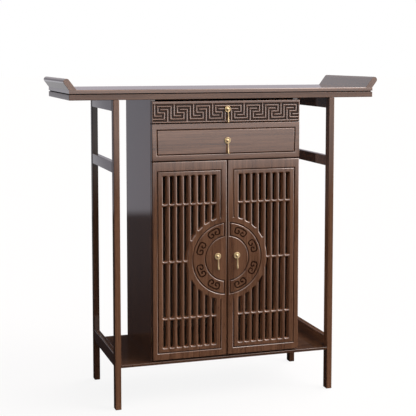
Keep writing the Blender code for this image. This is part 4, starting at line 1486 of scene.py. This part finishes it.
def tidy_turned(bm):
    """Merge the points on the axis, close what is open and turn all faces out."""
    bmesh.ops.remove_doubles(bm, verts=bm.verts, dist=HAIR)
    holes = [e for e in bm.edges if len(e.link_faces) == 1]
    if holes:
        bmesh.ops.holes_fill(bm, edges=holes, sides=0)
    bmesh.ops.recalc_face_normals(bm, faces=bm.faces)


print("pins stand", PIN_OUT, "out of the fronts at", round(fronts_y, 4))

# %% [markdown]
# ## Ears and pin
#
# The ears are two small plates with a round nose, and the pin is a short rod with eased ends.
# Each ear is made in a bmesh of its own, because its edges are easier to pick there, and then
# copied in.

# %% Ears and pin
EAR_THICKNESS = 0.0014
EAR_REACH = 0.8
EAR_NOSE = 0.98
EAR_NOSE_STEPS = 5
EAR_EASING = 0.00018
SMALL_STEPS = 2
SHARP_EDGE = 1.2
ALONG_EAR = 1e-4
PIN_SIDES = 20
PIN_SHORTER = 0.0002
PIN_EASING = 0.0002


def add_ear(bm, low_x, high_x, pin_y, root_y, z):
    reach = EYE_RADIUS * EAR_REACH
    ear = block((low_x, pin_y - reach, z - reach), (high_x, root_y, z + reach))
    nose = [e for e in ear.edges if all(v.co.y < pin_y for v in e.verts)
            and abs(e.verts[0].co.x - e.verts[1].co.x) > ALONG_EAR]
    round_edges(ear, nose, reach * EAR_NOSE, EAR_NOSE_STEPS)
    sharp = [e for e in ear.edges if len(e.link_faces) == 2 and e.calc_face_angle(0) > SHARP_EDGE]
    round_edges(ear, sharp, EAR_EASING, SMALL_STEPS)
    part = bpy.data.meshes.new("ear")
    ear.to_mesh(part)
    ear.free()
    bm.from_mesh(part)
    bpy.data.meshes.remove(part)


def add_pin(bm, centre, length):
    along_x = Matrix.Translation(centre) @ Matrix.Rotation(math.pi / 2, 4, "Y")
    pin = bmesh.ops.create_cone(bm, cap_ends=True, segments=PIN_SIDES, radius1=PIN_RADIUS,
                                radius2=PIN_RADIUS, depth=length, matrix=along_x)
    caps = {e for v in pin["verts"] for e in v.link_edges if e.calc_face_angle(0) > SHARP_EDGE}
    round_edges(bm, list(caps), PIN_EASING, SMALL_STEPS)


print("ear thickness", EAR_THICKNESS)

# %% [markdown]
# ## Rosettes
#
# The rosette has a raised rim, a hollow and a boss in the middle, which its profile gives as
# shares of its radius and height, from the axis outwards. It stays on the front, so it carries
# the ears and the pin.

# %% Rosettes
ROSETTE_STEPS = 48
ROSETTE_RADIUS = 0.0112
ROSETTE_HEIGHT = 0.0040
ROSETTE_PROFILE = [(0.0, 1.0), (0.14, 0.99), (0.24, 0.93), (0.31, 0.82), (0.35, 0.68), (0.40, 0.58),
                   (0.48, 0.53), (0.60, 0.52), (0.70, 0.54), (0.76, 0.60), (0.81, 0.70), (0.87, 0.75),
                   (0.92, 0.70), (0.965, 0.56), (0.99, 0.38), (1.0, 0.20), (1.0, 0.0)]
SEAT_GAP = 0.0003
EAR_GAP = 0.0003
EAR_ROOT = 0.6


def build_rosette(word, x, z):
    bm = bmesh.new()
    seat_y = fronts_y - SEAT_GAP
    profile = [(ROSETTE_RADIUS * r, -ROSETTE_HEIGHT * h, 0) for r, h in ROSETTE_PROFILE]
    turned(bm, profile, (0, 1, 0), (x, seat_y, z), ROSETTE_STEPS)
    tidy_turned(bm)
    pin_y = fronts_y - PIN_OUT
    inner = EYE_WIDTH / 2 + EAR_GAP
    for side in (-1, 1):
        low_x, high_x = sorted((x + side * inner, x + side * (inner + EAR_THICKNESS)))
        add_ear(bm, low_x, high_x, pin_y, seat_y - ROSETTE_HEIGHT * EAR_ROOT, z)
    add_pin(bm, (x, pin_y, z), 2 * (inner + EAR_THICKNESS) - PIN_SHORTER)
    node = "pull_" + word + "_rosette"
    finish_piece(bm, "fine_" + node, node, brass)


print("rosette across", 2 * ROSETTE_RADIUS)

# %% [markdown]
# ## Drops
#
# The drop hangs by a ring round the pin, and is a piece of its own, because it swings. The ring
# is a small section spun round the pin's axis. The body swells from a slim neck to a full end,
# like a drop of water, and is turned on an upright axis.

# %% Drops
DROP_STEPS = 32
DROP_LENGTH = 0.046
DROP_BULB = 0.0033
DROP_NECK = 0.0017
BORE_RADIUS = 0.0012
RING_SECTION = [(0.0006, -1.0), (0.0001, -0.55), (0.0, 0.0), (0.0002, 1.0)]
SHOULDER = 0.93
NECK_PROFILE = [(0.0, 0.0), (0.80, 0.0), (1.05, 0.0006), (1.12, 0.0012), (1.00, 0.0019)]
SWELL = [(0.18, 0.00), (0.30, 0.04), (0.45, 0.17), (0.58, 0.36), (0.70, 0.60), (0.80, 0.81), (0.88, 0.96)]
END_ANGLES = (5, -12, -30, -48, -66, -80)


def add_ring(bm, pin):
    """The ring round the pin; its section is given as insets and shares of its wall."""
    middle = (EYE_RADIUS + BORE_RADIUS) / 2
    wall = (EYE_RADIUS - BORE_RADIUS) / 2
    half = EYE_WIDTH / 2
    section = [(-half + inset, -middle + wall * share) for inset, share in RING_SECTION]
    section += [(-u, v) for u, v in section[::-1]]
    chain = [bm.verts.new(pin + Vector((u, 0, v))) for u, v in section]
    loop = [bm.edges.new((a, b)) for a, b in zip(chain, chain[1:] + chain[:1])]
    bmesh.ops.spin(bm, geom=chain + loop, axis=(1, 0, 0), cent=pin, dvec=(0, 0, 0),
                   angle=math.tau, steps=DROP_STEPS, use_merge=True)


def drop_profile():
    """Radius and height of the body's half profile, from the neck down to the end."""
    shoulder = -EYE_RADIUS * SHOULDER
    end = -DROP_LENGTH
    body = [(DROP_NECK * share, shoulder - down) for share, down in NECK_PROFILE]
    body += [(DROP_NECK + (DROP_BULB - DROP_NECK) * share, end * place) for place, share in SWELL]
    for degrees in END_ANGLES:
        a = math.radians(degrees)
        body.append((DROP_BULB * math.cos(a), end + DROP_BULB + DROP_BULB * math.sin(a)))
    return [*body, (0.0, end)]


def build_drop(word, x, z):
    bm = bmesh.new()
    pin = Vector((x, fronts_y - PIN_OUT, z))
    add_ring(bm, pin)
    turned(bm, [(r, 0, v) for r, v in drop_profile()], (0, 0, 1), pin, DROP_STEPS)
    tidy_turned(bm)
    node = "pull_" + word + "_drop"
    finish_piece(bm, "fine_" + node, node, brass)


print("drop length", DROP_LENGTH)

# %% [markdown]
# Each drawer has one pull in its middle, and each door one beside the line where they meet.

# %% Pulls in their places
UPPER_PULL_Z = 0.992
LOWER_PULL_Z = 0.887
DOOR_PULL_OUT = 0.034
DOOR_PULL_Z = 0.496

pull_places = {"upper": (0.0, UPPER_PULL_Z), "lower": (0.0, LOWER_PULL_Z),
               "left": (-DOOR_PULL_OUT, DOOR_PULL_Z), "right": (DOOR_PULL_OUT, DOOR_PULL_Z)}
for word, (x, z) in pull_places.items():
    build_rosette(word, x, z)
    build_drop(word, x, z)
print("pulls:", list(pull_places))

# %% [markdown]
# ## The hinges
#
# The four butt hinges sit in the hairline gap behind the doors, where little of them shows. The
# packed leaves and knuckles have the right shape already, so they stay and only get their brass.

# %% Hinges
hinge_nodes = [name for name in body_of_node if name.startswith("hinge_")]
for name in hinge_nodes:
    leaf = bpy.data.objects[name]
    leaf.data.materials.clear()
    leaf.data.materials.append(brass)
print("hinge leaves:", len(hinge_nodes))
